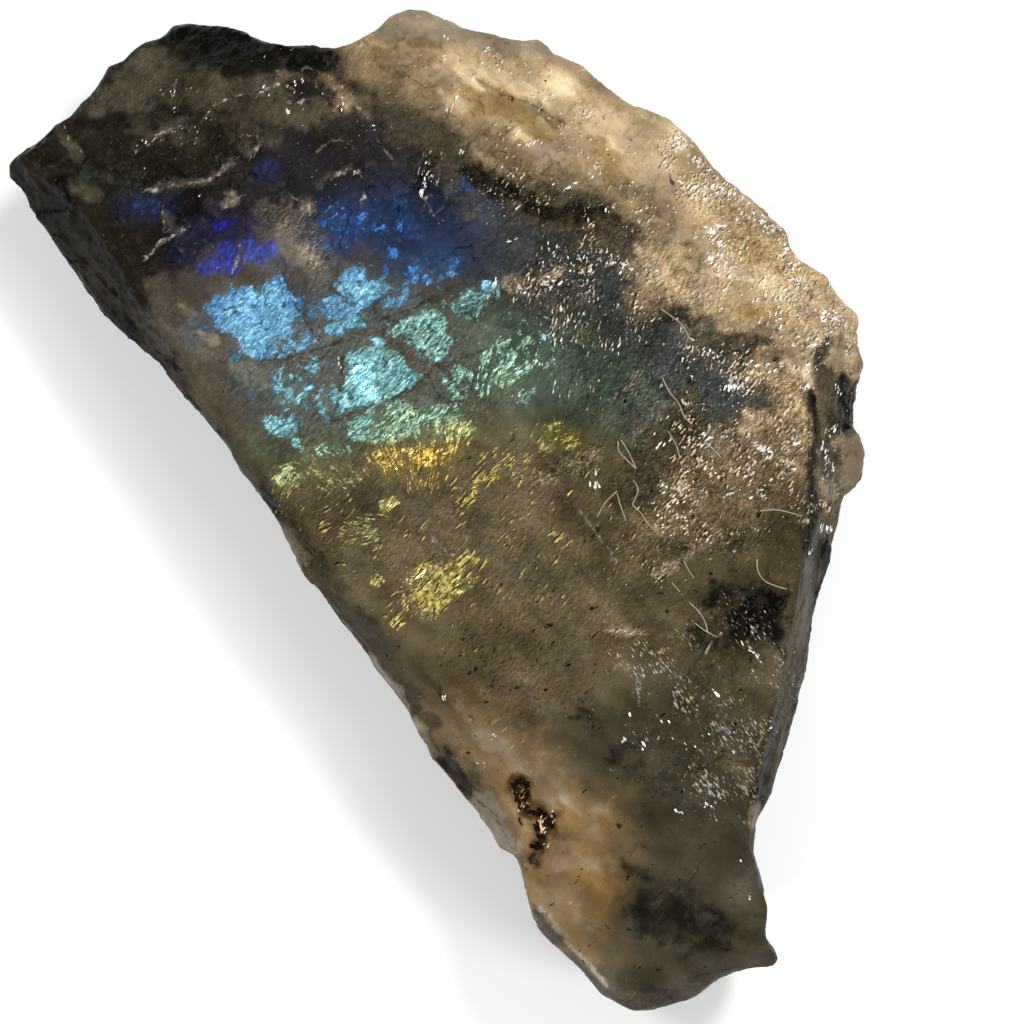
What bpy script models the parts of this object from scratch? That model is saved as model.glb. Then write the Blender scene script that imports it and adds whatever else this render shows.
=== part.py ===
"""Rough labradorite chunk, one piece of stone, lying with its play-of-colour face up.

The stone is shaped in the order in which it broke: two slabs with the chunk's broken outline are cleaved by
planes, lumps and lips are left standing on the flanks, and the whole is roughened by fracture relief. A flat
cleavage is cut last, and the stone rests on it. Metres, +Z up, origin at the middle of the resting box.
"""

import math

import bmesh
import bpy
from mathutils import Vector, geometry, noise

MM = 0.001

NAME = "labradorite_chunk"
TRIANGLES = 9600  # what the finished solid is thinned to

# Driving dimensions, in millimetres.
FACE_HEIGHT = 19.5  # of the display face above the resting face, at the origin
FACE_DIP = 3.0  # degrees that the display face falls towards -X
SLAB_TOP = 23.0  # the slab before cleaving reaches from here
SLAB_BOTTOM = -1.2  # to here, below the resting face, which is cut last at zero
RIM_HEIGHT = 13.0  # the outline's widest level; the walls below it wander inwards
VOXEL = 0.5  # grid of the skin that carries the fracture relief

# Two grown-together blocks make the chunk. The broken edge of each, seen from above, runs clockwise, one
# stretch after another; X and Y in millimetres.
BODY_OUTLINE = [
    # left tip and the ragged shoulder above it
    (-34.4, 27.2), (-33.4, 28.2), (-30.7, 30.3), (-30.3, 30.9), (-29.0, 31.4), (-28.3, 32.5), (-27.0, 33.6),
    (-26.0, 35.5), (-24.6, 36.0), (-24.4, 36.6), (-23.0, 37.6), (-21.6, 37.8), (-20.9, 38.9),
    # dark crest and the notch beside it
    (-19.1, 39.0), (-17.0, 38.7), (-15.4, 38.2), (-12.7, 37.1), (-10.9, 37.0), (-9.8, 37.2), (-9.0, 36.8),
    (-7.8, 36.8), (-6.2, 37.4), (-4.3, 38.5), (-3.7, 39.4),
    # pale crest down to the right-hand corner
    (-2.3, 40.0), (-1.2, 40.1), (0.5, 39.5), (3.3, 38.2), (7.0, 37.5), (8.8, 37.7), (9.2, 36.8), (12.3, 35.5),
    (13.9, 33.8), (15.5, 32.7), (16.9, 32.3), (17.8, 31.7), (18.9, 31.4), (20.3, 30.0), (22.9, 26.8),
    (28.3, 22.3), (28.6, 20.6), (31.7, 18.4), (32.1, 17.1), (34.1, 15.4),
    # right flank, with its two lumps
    (33.6, 14.2), (34.2, 11.8), (33.8, 8.4), (33.4, 6.4), (33.9, 5.6), (34.4, 4.2), (34.2, 3.4), (33.3, 2.1),
    (32.7, 0.8), (32.2, -1.9), (31.8, -3.0), (31.8, -4.2), (31.1, -5.6), (30.2, -9.8), (29.9, -12.2),
    (27.7, -20.8), (27.0, -22.6),
    # waist, where the tail takes over
    (25.6, -25.3), (25.5, -27.2), (6.3, -27.3),
    # long flank, back up to the left tip
    (5.4, -27.3), (4.1, -25.0), (-0.2, -19.9), (-0.4, -19.0), (-1.1, -18.5), (-2.2, -15.9), (-2.8, -15.0),
    (-4.8, -12.8), (-5.4, -11.4), (-10.6, -4.8), (-11.0, -3.6), (-11.9, -2.2), (-12.4, -1.0), (-14.7, 2.4),
    (-15.5, 3.3), (-16.4, 5.1), (-22.3, 12.0), (-26.4, 15.6), (-29.0, 19.3), (-29.9, 20.2), (-31.0, 22.4),
    (-32.5, 24.0), (-32.8, 25.0), (-33.2, 25.7), (-34.0, 26.2),
]
TAIL_OUTLINE = [
    # the end inside the body
    (9.0, -14.0), (21.0, -14.0),
    # right side, out to the spur
    (25.2, -25.3), (25.5, -27.2), (26.2, -29.6), (26.6, -33.0), (26.4, -34.2), (27.7, -35.8), (27.4, -36.4),
    # broken end and heel
    (25.3, -36.7), (23.8, -37.1), (22.7, -37.6), (21.9, -38.1), (20.9, -39.0), (17.1, -40.0), (15.8, -40.0),
    (13.4, -38.8), (12.6, -37.7),
    # left side
    (8.6, -33.8), (8.0, -32.8), (7.4, -30.9), (6.9, -28.6), (6.3, -27.3),
]

# Cleavages that start on another one: its name, two points of the shared edge, and how steeply the new one
# falls away to the left of the walk from the first point to the second, in degrees below level.
UPPER_CLEAVAGES = {
    "dark_shoulder": ("display_face", (-29.9, 22.8), (-14.5, 35.8), 30),
    "dark_crest": ("dark_shoulder", (-23.0, 34.6), (-7.0, 35.2), 42),
    "pale_slope": ("display_face", (-7.5, 30.4), (27.7, 6.4), 14),
    "pale_crest": ("pale_slope", (-1.5, 36.4), (30.6, 14.8), 36),
    "tail_slope": ("display_face", (27.7, -18.4), (0.5, -15.2), 9),
    "right_flank": ("display_face", (31.0, 14.4), (29.8, -2.8), 66),
    "waist_flank": ("display_face", (29.8, -2.8), (25.5, -23.2), 76),
    "tail_end": ("tail_slope", (26.7, -34.9), (16.5, -38.6), 48),
    "tail_heel": ("tail_slope", (13.6, -38.0), (8.2, -32.4), 70),
    "long_flank_low": ("display_face", (6.4, -27.2), (-14.3, 3.6), 60),
    "long_flank_high": ("display_face", (-14.3, 3.6), (-30.0, 22.8), 52),
}

# Cleavages under the rim: height of their edge, two points of it, and the same angle, past the vertical.
LOWER_CLEAVAGES = {
    "under_shoulder": (7.5, (-34.4, 27.2), (-20.9, 38.9), 142),
    "under_crest": (6.0, (-20.9, 38.9), (8.9, 38.0), 124),
    "under_pale_rim": (8.0, (8.9, 38.0), (34.1, 15.4), 132),
    "under_right_flank": (5.0, (34.4, 14.4), (31.8, -4.2), 118),
    "under_waist": (5.0, (31.8, -4.2), (26.6, -25.3), 112),
    "under_tail_side": (5.5, (25.2, -25.3), (27.7, -35.8), 116),
    "under_tail_end": (6.5, (27.7, -35.8), (16.5, -40.0), 134),
    "under_tail_heel": (5.0, (12.6, -38.2), (6.6, -28.6), 122),
    "under_long_flank": (6.0, (3.2, -24.0), (-34.0, 26.2), 127),
}

TAIL_ONLY = {"tail_end", "tail_heel", "under_tail_side", "under_tail_end", "under_tail_heel"}
BOTH_BLOCKS = {"display_face", "tail_slope"}

# Lumps and lips left standing on the flanks: the two ends of each and its half width.
LUMPS = {
    "upper_right_lump": ((32.7, 13.6, 15.8), (32.5, 9.4, 14.6), 1.8),
    "lower_right_lump": ((32.4, 7.2, 14.8), (32.4, 0.9, 13.6), 2.1),
    "small_right_lump": ((31.1, -1.2, 14.0), (30.2, -5.6, 13.0), 1.3),
    "lip_by_the_tail": ((4.9, -20.9, 15.0), (6.0, -26.6, 14.0), 1.5),
    "middle_lip": ((-1.9, -14.3, 15.4), (0.9, -19.0, 15.0), 1.3),
    "upper_lip": ((-4.7, -10.7, 15.7), (-1.7, -14.9, 15.3), 1.2),
    "high_lip": ((-11.2, -1.2, 15.1), (-9.4, -4.6, 14.9), 1.2),
    "tail_lip": ((8.7, -31.7, 13.8), (13.5, -37.2, 12.8), 1.2),
}

# Ledges and hollows of the display face: height (minus for a hollow), half width, and the line they follow.
LEDGES = {
    "pale_ledge": (0.55, 0.9, [(-22.7, 25.6), (-19.9, 26.1), (-17.5, 26.4), (-15.9, 27.6), (-14.6, 29.0)]),
    "corner_ledge": (0.55, 0.9, [(-23.5, 19.8), (-21.5, 21.2), (-19.9, 22.6)]),
    "crown_grains": (0.6, 1.8, [(-13.5, 34.0), (-9.6, 34.6)]),
    "fleck_mound": (0.5, 2.4, [(-13.5, 24.2), (-10.4, 23.0)]),
    "knob": (0.6, 1.0, [(-15.0, 29.1), (-14.8, 28.9)]),
    "middle_ledge": (0.5, 0.9, [(6.5, 17.4), (8.9, 17.8), (11.0, 19.2)]),
    "pale_mound": (0.9, 4.0, [(0.5, 35.0), (9.0, 31.5)]),
    "pale_rib": (0.65, 1.2, [(24.8, 11.0), (28.4, 11.9), (30.6, 12.8)]),
    "low_ledge": (0.4, 0.9, [(17.3, -4.6), (21.3, -3.2), (24.5, -1.8)]),
    "dark_valley": (-0.9, 1.9, [(3.0, 26.4), (7.7, 24.4), (12.6, 22.6), (15.2, 21.4)]),
    "side_valley": (-0.6, 2.0, [(20.0, 16.8), (25.5, 14.8)]),
    "tail_hollow": (-0.6, 4.0, [(14.0, -17.0), (20.0, -25.0)]),
    "rust_pit": (-1.1, 0.75, [(6.9, -21.8), (7.1, -23.2), (7.8, -24.2)]),
    "glint_pit": (-0.8, 0.9, [(8.2, -23.9), (8.8, -26.0), (8.2, -27.6)]),
}

# Fracture relief: size of its features and its height, in millimetres.
SWELLS = (11.0, 0.55)
SPLINTERS = (4.2, 0.45)
GRAIN = (1.6, 0.16)
WALL_WANDER = 1.6  # how far the wall draws back below the rim
SHEET = 1.5  # thickness of the cleavage sheets whose edges show on the walls
SHEET_LENGTH = 4.0  # how many times longer than thick they are
SHEET_DEPTH = 0.5
FACE_CALM = 0.55  # share of the splinters that the smoother display face keeps


def clear_scene():
    for leftover in list(bpy.data.objects):
        bpy.data.objects.remove(leftover)


def stone_material():
    """Dark grey-brown feldspar with a glassy skin."""
    material = bpy.data.materials.new(NAME)
    material.use_nodes = True
    shader = material.node_tree.nodes["Principled BSDF"]
    shader.inputs["Base Color"].default_value = (0.13, 0.11, 0.085, 1)
    shader.inputs["Roughness"].default_value = 0.42
    shader.inputs["Metallic"].default_value = 0.0
    return material


def evaluated_mesh(obj):
    """The mesh of an object with its curve or modifiers worked out."""
    graph = bpy.context.evaluated_depsgraph_get()
    return bpy.data.meshes.new_from_object(obj.evaluated_get(graph))


def place(name, mesh):
    obj = bpy.data.objects.new(name, mesh)
    bpy.context.collection.objects.link(obj)
    return obj


def slab(edge_points):
    """A slab with the given outline, as a mesh."""
    outline = bpy.data.curves.new("outline", "CURVE")
    outline.dimensions = "2D"
    outline.fill_mode = "BOTH"
    outline.extrude = (SLAB_TOP - SLAB_BOTTOM) / 2 * MM
    edge = outline.splines.new("POLY")
    edge.points.add(len(edge_points) - 1)
    for point, (x, y) in zip(edge.points, edge_points):
        point.co = (x * MM, y * MM, 0, 1)
    edge.use_cyclic_u = True
    guide = place("outline", outline)
    mesh = evaluated_mesh(guide)
    bpy.data.objects.remove(guide)
    blank = bmesh.new()
    blank.from_mesh(mesh)
    bmesh.ops.remove_doubles(blank, verts=blank.verts, dist=0.01 * MM)
    middle = (SLAB_TOP + SLAB_BOTTOM) / 2 * MM
    bmesh.ops.translate(blank, verts=blank.verts, vec=(0, 0, middle))
    bmesh.ops.recalc_face_normals(blank, faces=blank.faces)
    return blank


def cleavage_normal(first, second, dip):
    """Outward normal of the plane through two points that falls away to the left of the walk between them."""
    along = (second - first).normalized()
    left = Vector((-along.y, along.x, 0)).normalized()
    down_dip = left * math.cos(math.radians(dip)) - Vector((0, 0, math.sin(math.radians(dip))))
    return along.cross(down_dip).normalized()


def on_plane(plane, x, y):
    """The point of a plane straight above or below (x, y)."""
    point, normal = plane
    rise = -(normal.x * (x - point.x) + normal.y * (y - point.y)) / normal.z
    return Vector((x, y, point.z + rise))


def cleavage_planes():
    """Every cleavage by name, as a point of it and its outward normal, in millimetres."""
    centre = Vector((0, 0, FACE_HEIGHT))
    tilt = math.radians(FACE_DIP)
    planes = {"display_face": (centre, Vector((-math.sin(tilt), 0, math.cos(tilt))))}
    for name, (parent, first, second, dip) in UPPER_CLEAVAGES.items():
        start = on_plane(planes[parent], *first)
        end = on_plane(planes[parent], *second)
        planes[name] = (start, cleavage_normal(start, end, dip))
    for name, (height, first, second, dip) in LOWER_CLEAVAGES.items():
        start, end = Vector((*first, height)), Vector((*second, height))
        planes[name] = (start, cleavage_normal(start, end, dip))
    return planes


def cut_away(blank, point, normal):
    """Removes what lies outside a plane and closes the cut."""
    everything = [*blank.verts, *blank.edges, *blank.faces]
    cut = bmesh.ops.bisect_plane(
        blank, geom=everything, dist=0.001 * MM, plane_co=point, plane_no=normal, clear_outer=True
    )
    rim = [edge for edge in cut["geom_cut"] if isinstance(edge, bmesh.types.BMEdge)]
    bmesh.ops.triangle_fill(blank, use_beauty=True, use_dissolve=False, edges=rim, normal=normal)


def block(edge_points, planes):
    """A slab cut down by every cleavage that reaches it."""
    blank = slab(edge_points)
    for point, normal in planes:
        cut_away(blank, point * MM, normal)
    mesh = bpy.data.meshes.new("block")
    blank.to_mesh(mesh)
    blank.free()
    return mesh


def add_lumps(blank):
    """Each lump is an ellipsoid between its ends. It overlaps the stone, and the skin joins the two."""
    for first, second, half_width in LUMPS.values():
        start, end = Vector(first) * MM, Vector(second) * MM
        half_length = (end - start).length / 2
        made = bmesh.ops.create_icosphere(blank, subdivisions=3, radius=1.0)["verts"]
        bmesh.ops.scale(blank, vec=(half_width * MM, half_width * MM, half_length), verts=made)
        turn = Vector((0, 0, 1)).rotation_difference(end - start).to_matrix()
        bmesh.ops.rotate(blank, cent=(0, 0, 0), matrix=turn, verts=made)
        bmesh.ops.translate(blank, vec=(start + end) / 2, verts=made)


def skinned(blank):
    """One even skin over the blocks and their lumps, fine enough to carry the relief."""
    mesh = bpy.data.meshes.new("blank")
    blank.to_mesh(mesh)
    blank.free()
    rough = place("blank", mesh)
    skin = rough.modifiers.new("skin", "REMESH")
    skin.mode = "VOXEL"
    skin.voxel_size = VOXEL * MM
    mesh = evaluated_mesh(rough)
    bpy.data.objects.remove(rough)
    return mesh


def ledge_height(x, y):
    """Sum of the ledges and hollows at a place of the display face."""
    total = 0.0
    here = Vector((x, y))
    for height, half_width, line in LEDGES.values():
        nearest = min(
            (here - nearest_on(here, Vector(a), Vector(b))).length for a, b in zip(line, line[1:])
        )
        if nearest < 3 * half_width:
            total += height * math.exp(-((nearest / half_width) ** 2))
    return total


def nearest_on(here, start, end):
    point, share = geometry.intersect_point_line(here, start, end)
    if share <= 0:
        return start
    return end if share >= 1 else point.to_2d()


def fracture(place_mm, size, seed):
    """Sharp-crested relief from about -1 to 1, with features of the given size."""
    at = place_mm / size + Vector((seed, 0, 0))
    return noise.ridged_multi_fractal(at, 0.9, 2.1, 3, 1.0, 2.0) - 1.1


def smooth_relief(place_mm, size, seed):
    """Soft relief from about -1 to 1, with features of the given size."""
    return noise.fractal(place_mm / size + Vector((0, seed, 0)), 1.0, 2.0, 3)


def wall_depth(at):
    """How far the wall is drawn back at a place of it: more below the rim, and in sheets all over."""
    below = max(0.0, RIM_HEIGHT - at.z) / RIM_HEIGHT
    wander = WALL_WANDER * below * (0.5 + smooth_relief(at, 6.0, 31.0))
    along_sheets = Vector((at.x / SHEET_LENGTH, at.y / SHEET_LENGTH, at.z))
    sheet = smooth_relief(along_sheets, SHEET, 47.0)
    return max(0.0, wander) + SHEET_DEPTH * max(0.0, sheet + 0.1)


def roughen(mesh):
    """Moves the skin by the fracture relief: faces up and down, walls only inwards, so the outline stays."""
    normals = [vertex.normal.copy() for vertex in mesh.vertices]
    for vertex, normal in zip(mesh.vertices, normals):
        at = vertex.co / MM
        facing_up = min(1.0, max(0.0, (normal.z - 0.25) / 0.5))
        level = min(1.0, abs(normal.z) * 1.4)
        calm = 1.0 - (1.0 - FACE_CALM) * facing_up
        rise = SWELLS[1] * smooth_relief(at, SWELLS[0], 3.0)
        rise += SPLINTERS[1] * calm * fracture(at, SPLINTERS[0], 11.0)
        rise += GRAIN[1] * smooth_relief(at, GRAIN[0], 23.0)
        rise = rise * level * (1.0 if normal.z > 0 else -1.0)
        rise += ledge_height(at.x, at.y) * facing_up
        inwards = Vector((normal.x, normal.y)) * -wall_depth(at) * (1.0 - level)
        vertex.co = (at + Vector((inwards.x, inwards.y, rise))) * MM


def thinned(mesh):
    """The roughened stone with only the triangles that its form needs."""
    fine = place("fine", mesh)
    even = fine.modifiers.new("triangles", "TRIANGULATE")
    even.quad_method = "BEAUTY"
    thin = fine.modifiers.new("thin", "DECIMATE")
    thin.ratio = TRIANGLES / (2 * len(mesh.polygons))
    result = evaluated_mesh(fine)
    bpy.data.objects.remove(fine)
    return result


def cut_resting_face(mesh):
    """Cuts the flat cleavage that the stone rests on, and centres the stone over the origin."""
    stone = bmesh.new()
    stone.from_mesh(mesh)
    cut_away(stone, Vector((0, 0, 0)), Vector((0, 0, -1)))
    bmesh.ops.triangulate(stone, faces=stone.faces)
    bmesh.ops.recalc_face_normals(stone, faces=stone.faces)
    low = Vector(min(v.co[axis] for v in stone.verts) for axis in range(3))
    high = Vector(max(v.co[axis] for v in stone.verts) for axis in range(3))
    shift = Vector((-(low.x + high.x) / 2, -(low.y + high.y) / 2, 0))
    bmesh.ops.translate(stone, verts=stone.verts, vec=shift)
    stone.to_mesh(mesh)
    stone.free()


def blocks_and_lumps():
    planes = cleavage_planes()
    of_body = [plane for name, plane in planes.items() if name not in TAIL_ONLY]
    of_tail = [plane for name, plane in planes.items() if name in TAIL_ONLY | BOTH_BLOCKS]
    together = bmesh.new()
    for edge_points, reached in ((BODY_OUTLINE, of_body), (TAIL_OUTLINE, of_tail)):
        together.from_mesh(block(edge_points, reached))
    add_lumps(together)
    return together


def build_stone():
    blank = blocks_and_lumps()
    skin = skinned(blank)
    roughen(skin)
    mesh = thinned(skin)
    cut_resting_face(mesh)
    mesh.materials.clear()
    mesh.materials.append(stone_material())
    mesh.shade_smooth()
    mesh.set_sharp_from_angle(angle=math.radians(35))
    stone = place(NAME, mesh)
    collection = bpy.data.collections.new("rough_labradorite")
    bpy.context.scene.collection.children.link(collection)
    collection.objects.link(stone)
    bpy.context.collection.objects.unlink(stone)
    return stone


clear_scene()
build_stone()
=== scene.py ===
"""Looks of the rough labradorite chunk: its broken skin, its colours and its play of light.

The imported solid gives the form. Its surface is made again here at a finer grain, with the small plates and
steps that feldspar breaks into, and takes a material in layers: the cloudy body of the stone, the
blue-to-gold flash that lies in crumbled blocks under its surface, and the glints on top.

Places on the face are named and given in pixels of a picture that looks straight down on the stone, at
MM_PER_PX millimetres a pixel; everything else is in millimetres.
"""

import itertools
import math
import random

import bpy
import numpy as np
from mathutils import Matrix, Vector
from mathutils.bvhtree import BVHTree


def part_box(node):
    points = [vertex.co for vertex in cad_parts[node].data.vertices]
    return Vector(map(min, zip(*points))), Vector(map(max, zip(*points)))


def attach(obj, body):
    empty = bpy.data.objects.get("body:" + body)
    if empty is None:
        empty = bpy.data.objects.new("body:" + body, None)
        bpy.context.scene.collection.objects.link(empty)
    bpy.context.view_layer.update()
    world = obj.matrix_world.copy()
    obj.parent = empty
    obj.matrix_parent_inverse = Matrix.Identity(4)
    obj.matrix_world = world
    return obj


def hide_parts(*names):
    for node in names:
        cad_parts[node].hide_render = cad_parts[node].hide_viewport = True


MM = 0.001
NODE = "labradorite_chunk"

# The view: straight down on the face, from far enough away that the stone's depth hardly shows.
PHOTO_SIDE = 1024
MM_PER_PX = 0.08
STONE_CENTRE_PX = (436.75, 509.75)  # where the stone's origin is in the picture
RIM_Z = 13.0  # the outline's widest level, which is at true scale in the picture
CAMERA_HEIGHT = 1500.0
SENSOR = 36.0

# The skin of the stone: the size of its cells, and how many triangles it is thinned to.
SKIN_VOXEL = 0.22
SKIN_TRIANGLES = 196000

# How glossy the face and the sides are, as Specular IOR Level, and how far a glow hides the body.
FACE_GLOSS = 0.035
SIDE_GLOSS = 0.01
GLOW_HIDES = 12.0

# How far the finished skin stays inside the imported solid's box.
BOX_MARGIN = 0.01

# How bright a matt white surface that faces up looks under the scene's lights.
LIGHT_LEVEL = 1.5

# Relief of the broken surface, in millimetres: height and size of its plates, flakes and swells.
BLOCKS = (0.15, 3.6)
STEPS = (0.15, 1.5)
FLAKES = (0.12, 0.8)
SWELLS = (0.10, 5.0)
BLOCK_DIRECTION = 33  # degrees; the blocks and steps are BLOCK_LENGTH times as long that way
BLOCK_LENGTH = 1.5
SUGARY_RIM = (150, 1.0, [(480, 120), (640, 220), (760, 340), (790, 460)])  # half width, strength and line
SMOOTH_TAIL = (130, 1.0, [(480, 620), (560, 700), (600, 800), (660, 900), (640, 980)])
JOINT_DEPTH = 0.10
JOINT_HALF_WIDTH = 3.5  # of the hollow round a joint, in pixels
PIT_DEPTH = 0.35

# How wide the soft noise of the skin spreads about 0, to match the spread of the shader's noise about 0.5.
NOISE_SPREAD = 0.45

# ---------------------------------------------------------------- colours, as linear red, green and blue

# The body of the stone, as it looks under the lights.
BODY_COLOURS = {
    "black": (0.004, 0.003, 0.002),
    "deep_brown": (0.014, 0.011, 0.006),
    "shade_brown": (0.058, 0.046, 0.029),
    "smoke": (0.070, 0.058, 0.037),
    "violet_black": (0.018, 0.015, 0.016),
    "navy": (0.019, 0.028, 0.058),
    "slate": (0.046, 0.048, 0.045),
    "bottle_green": (0.056, 0.066, 0.042),
    "olive": (0.094, 0.071, 0.036),
    "dark_olive": (0.058, 0.045, 0.025),
    "light_olive": (0.134, 0.101, 0.059),
    "khaki": (0.210, 0.150, 0.078),
    "honey": (0.330, 0.215, 0.088),
    "tan": (0.450, 0.330, 0.185),
    "cream": (0.640, 0.480, 0.290),
    "grey_tan": (0.330, 0.265, 0.180),
    "tail_tan": (0.235, 0.152, 0.068),
    "tail_honey": (0.205, 0.125, 0.045),
    "tail_grey": (0.052, 0.045, 0.027),
    "haze": (0.086, 0.072, 0.055),
    "pale_haze": (0.240, 0.190, 0.125),
    "lip_grey": (0.300, 0.250, 0.185),
    "rust": (0.075, 0.036, 0.011),
}

BODY = "olive"
# The sides and underside take these darker colours: partly their own colour, partly painted shade.
HIDDEN = ("deep_brown", "dark_olive")  # the two colours of the sides and the underside

# Broad patches, laid one over another: colour, strength, softness of the edge in pixels, and outline.
PATCHES = [
    ("deep_brown", 1.0, 30, [(-40, 180), (60, 60), (160, -20), (330, 0), (365, 95), (440, 160), (380, 235),
                             (250, 265), (196, 276), (160, 320), (180, 390), (100, 400), (-20, 260)]),
    ("violet_black", 0.95, 30, [(150, 205), (250, 160), (300, 120), (380, 110), (460, 165), (500, 210),
                                (420, 250), (330, 215), (230, 245)]),
    ("navy", 0.95, 22, [(318, 205), (395, 185), (480, 185), (540, 235), (480, 275), (400, 285), (320, 262)]),
    ("slate", 1.0, 30, [(480, 200), (560, 228), (640, 265), (690, 320), (760, 370), (760, 410), (690, 440),
                        (560, 330), (470, 290)]),
    ("bottle_green", 0.95, 30, [(470, 300), (540, 300), (620, 345), (700, 415), (670, 450), (560, 432),
                                (500, 420), (450, 400)]),
    ("haze", 0.9, 24, [(140, 322), (200, 282), (280, 222), (340, 256), (420, 290), (480, 330), (470, 400),
                       (400, 420), (300, 455), (240, 440), (180, 380)]),
    ("tan", 1.0, 24, [(345, 45), (370, 84), (424, 98), (474, 142), (512, 172), (580, 186), (612, 206),
                      (634, 250), (640, 292), (700, 312), (735, 345), (742, 376), (812, 380), (900, 330),
                      (860, 240), (700, 60), (560, 0), (400, -30)]),
    ("khaki", 0.8, 22, [(742, 350), (812, 345), (806, 480), (760, 470), (700, 500), (660, 470), (700, 430),
                        (770, 410)]),
    # the lower right flank: its own dark colour, and painted shade against the side lights
    ("deep_brown", 0.95, 8, [(812, 540), (850, 540), (836, 640), (820, 720), (798, 800), (770, 840),
                             (750, 822), (774, 772), (792, 704), (803, 640), (810, 590)]),
    ("tail_tan", 1.0, 38, [(420, 716), (470, 706), (530, 735), (566, 774), (610, 806), (630, 840), (600, 900),
                           (606, 940), (584, 966), (548, 980), (490, 900), (440, 790)]),
    ("tail_grey", 0.95, 32, [(560, 716), (700, 690), (790, 745), (770, 880), (800, 980), (640, 1030),
                             (560, 985), (616, 950), (620, 900), (644, 840), (630, 785), (580, 770)]),
]

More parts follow.
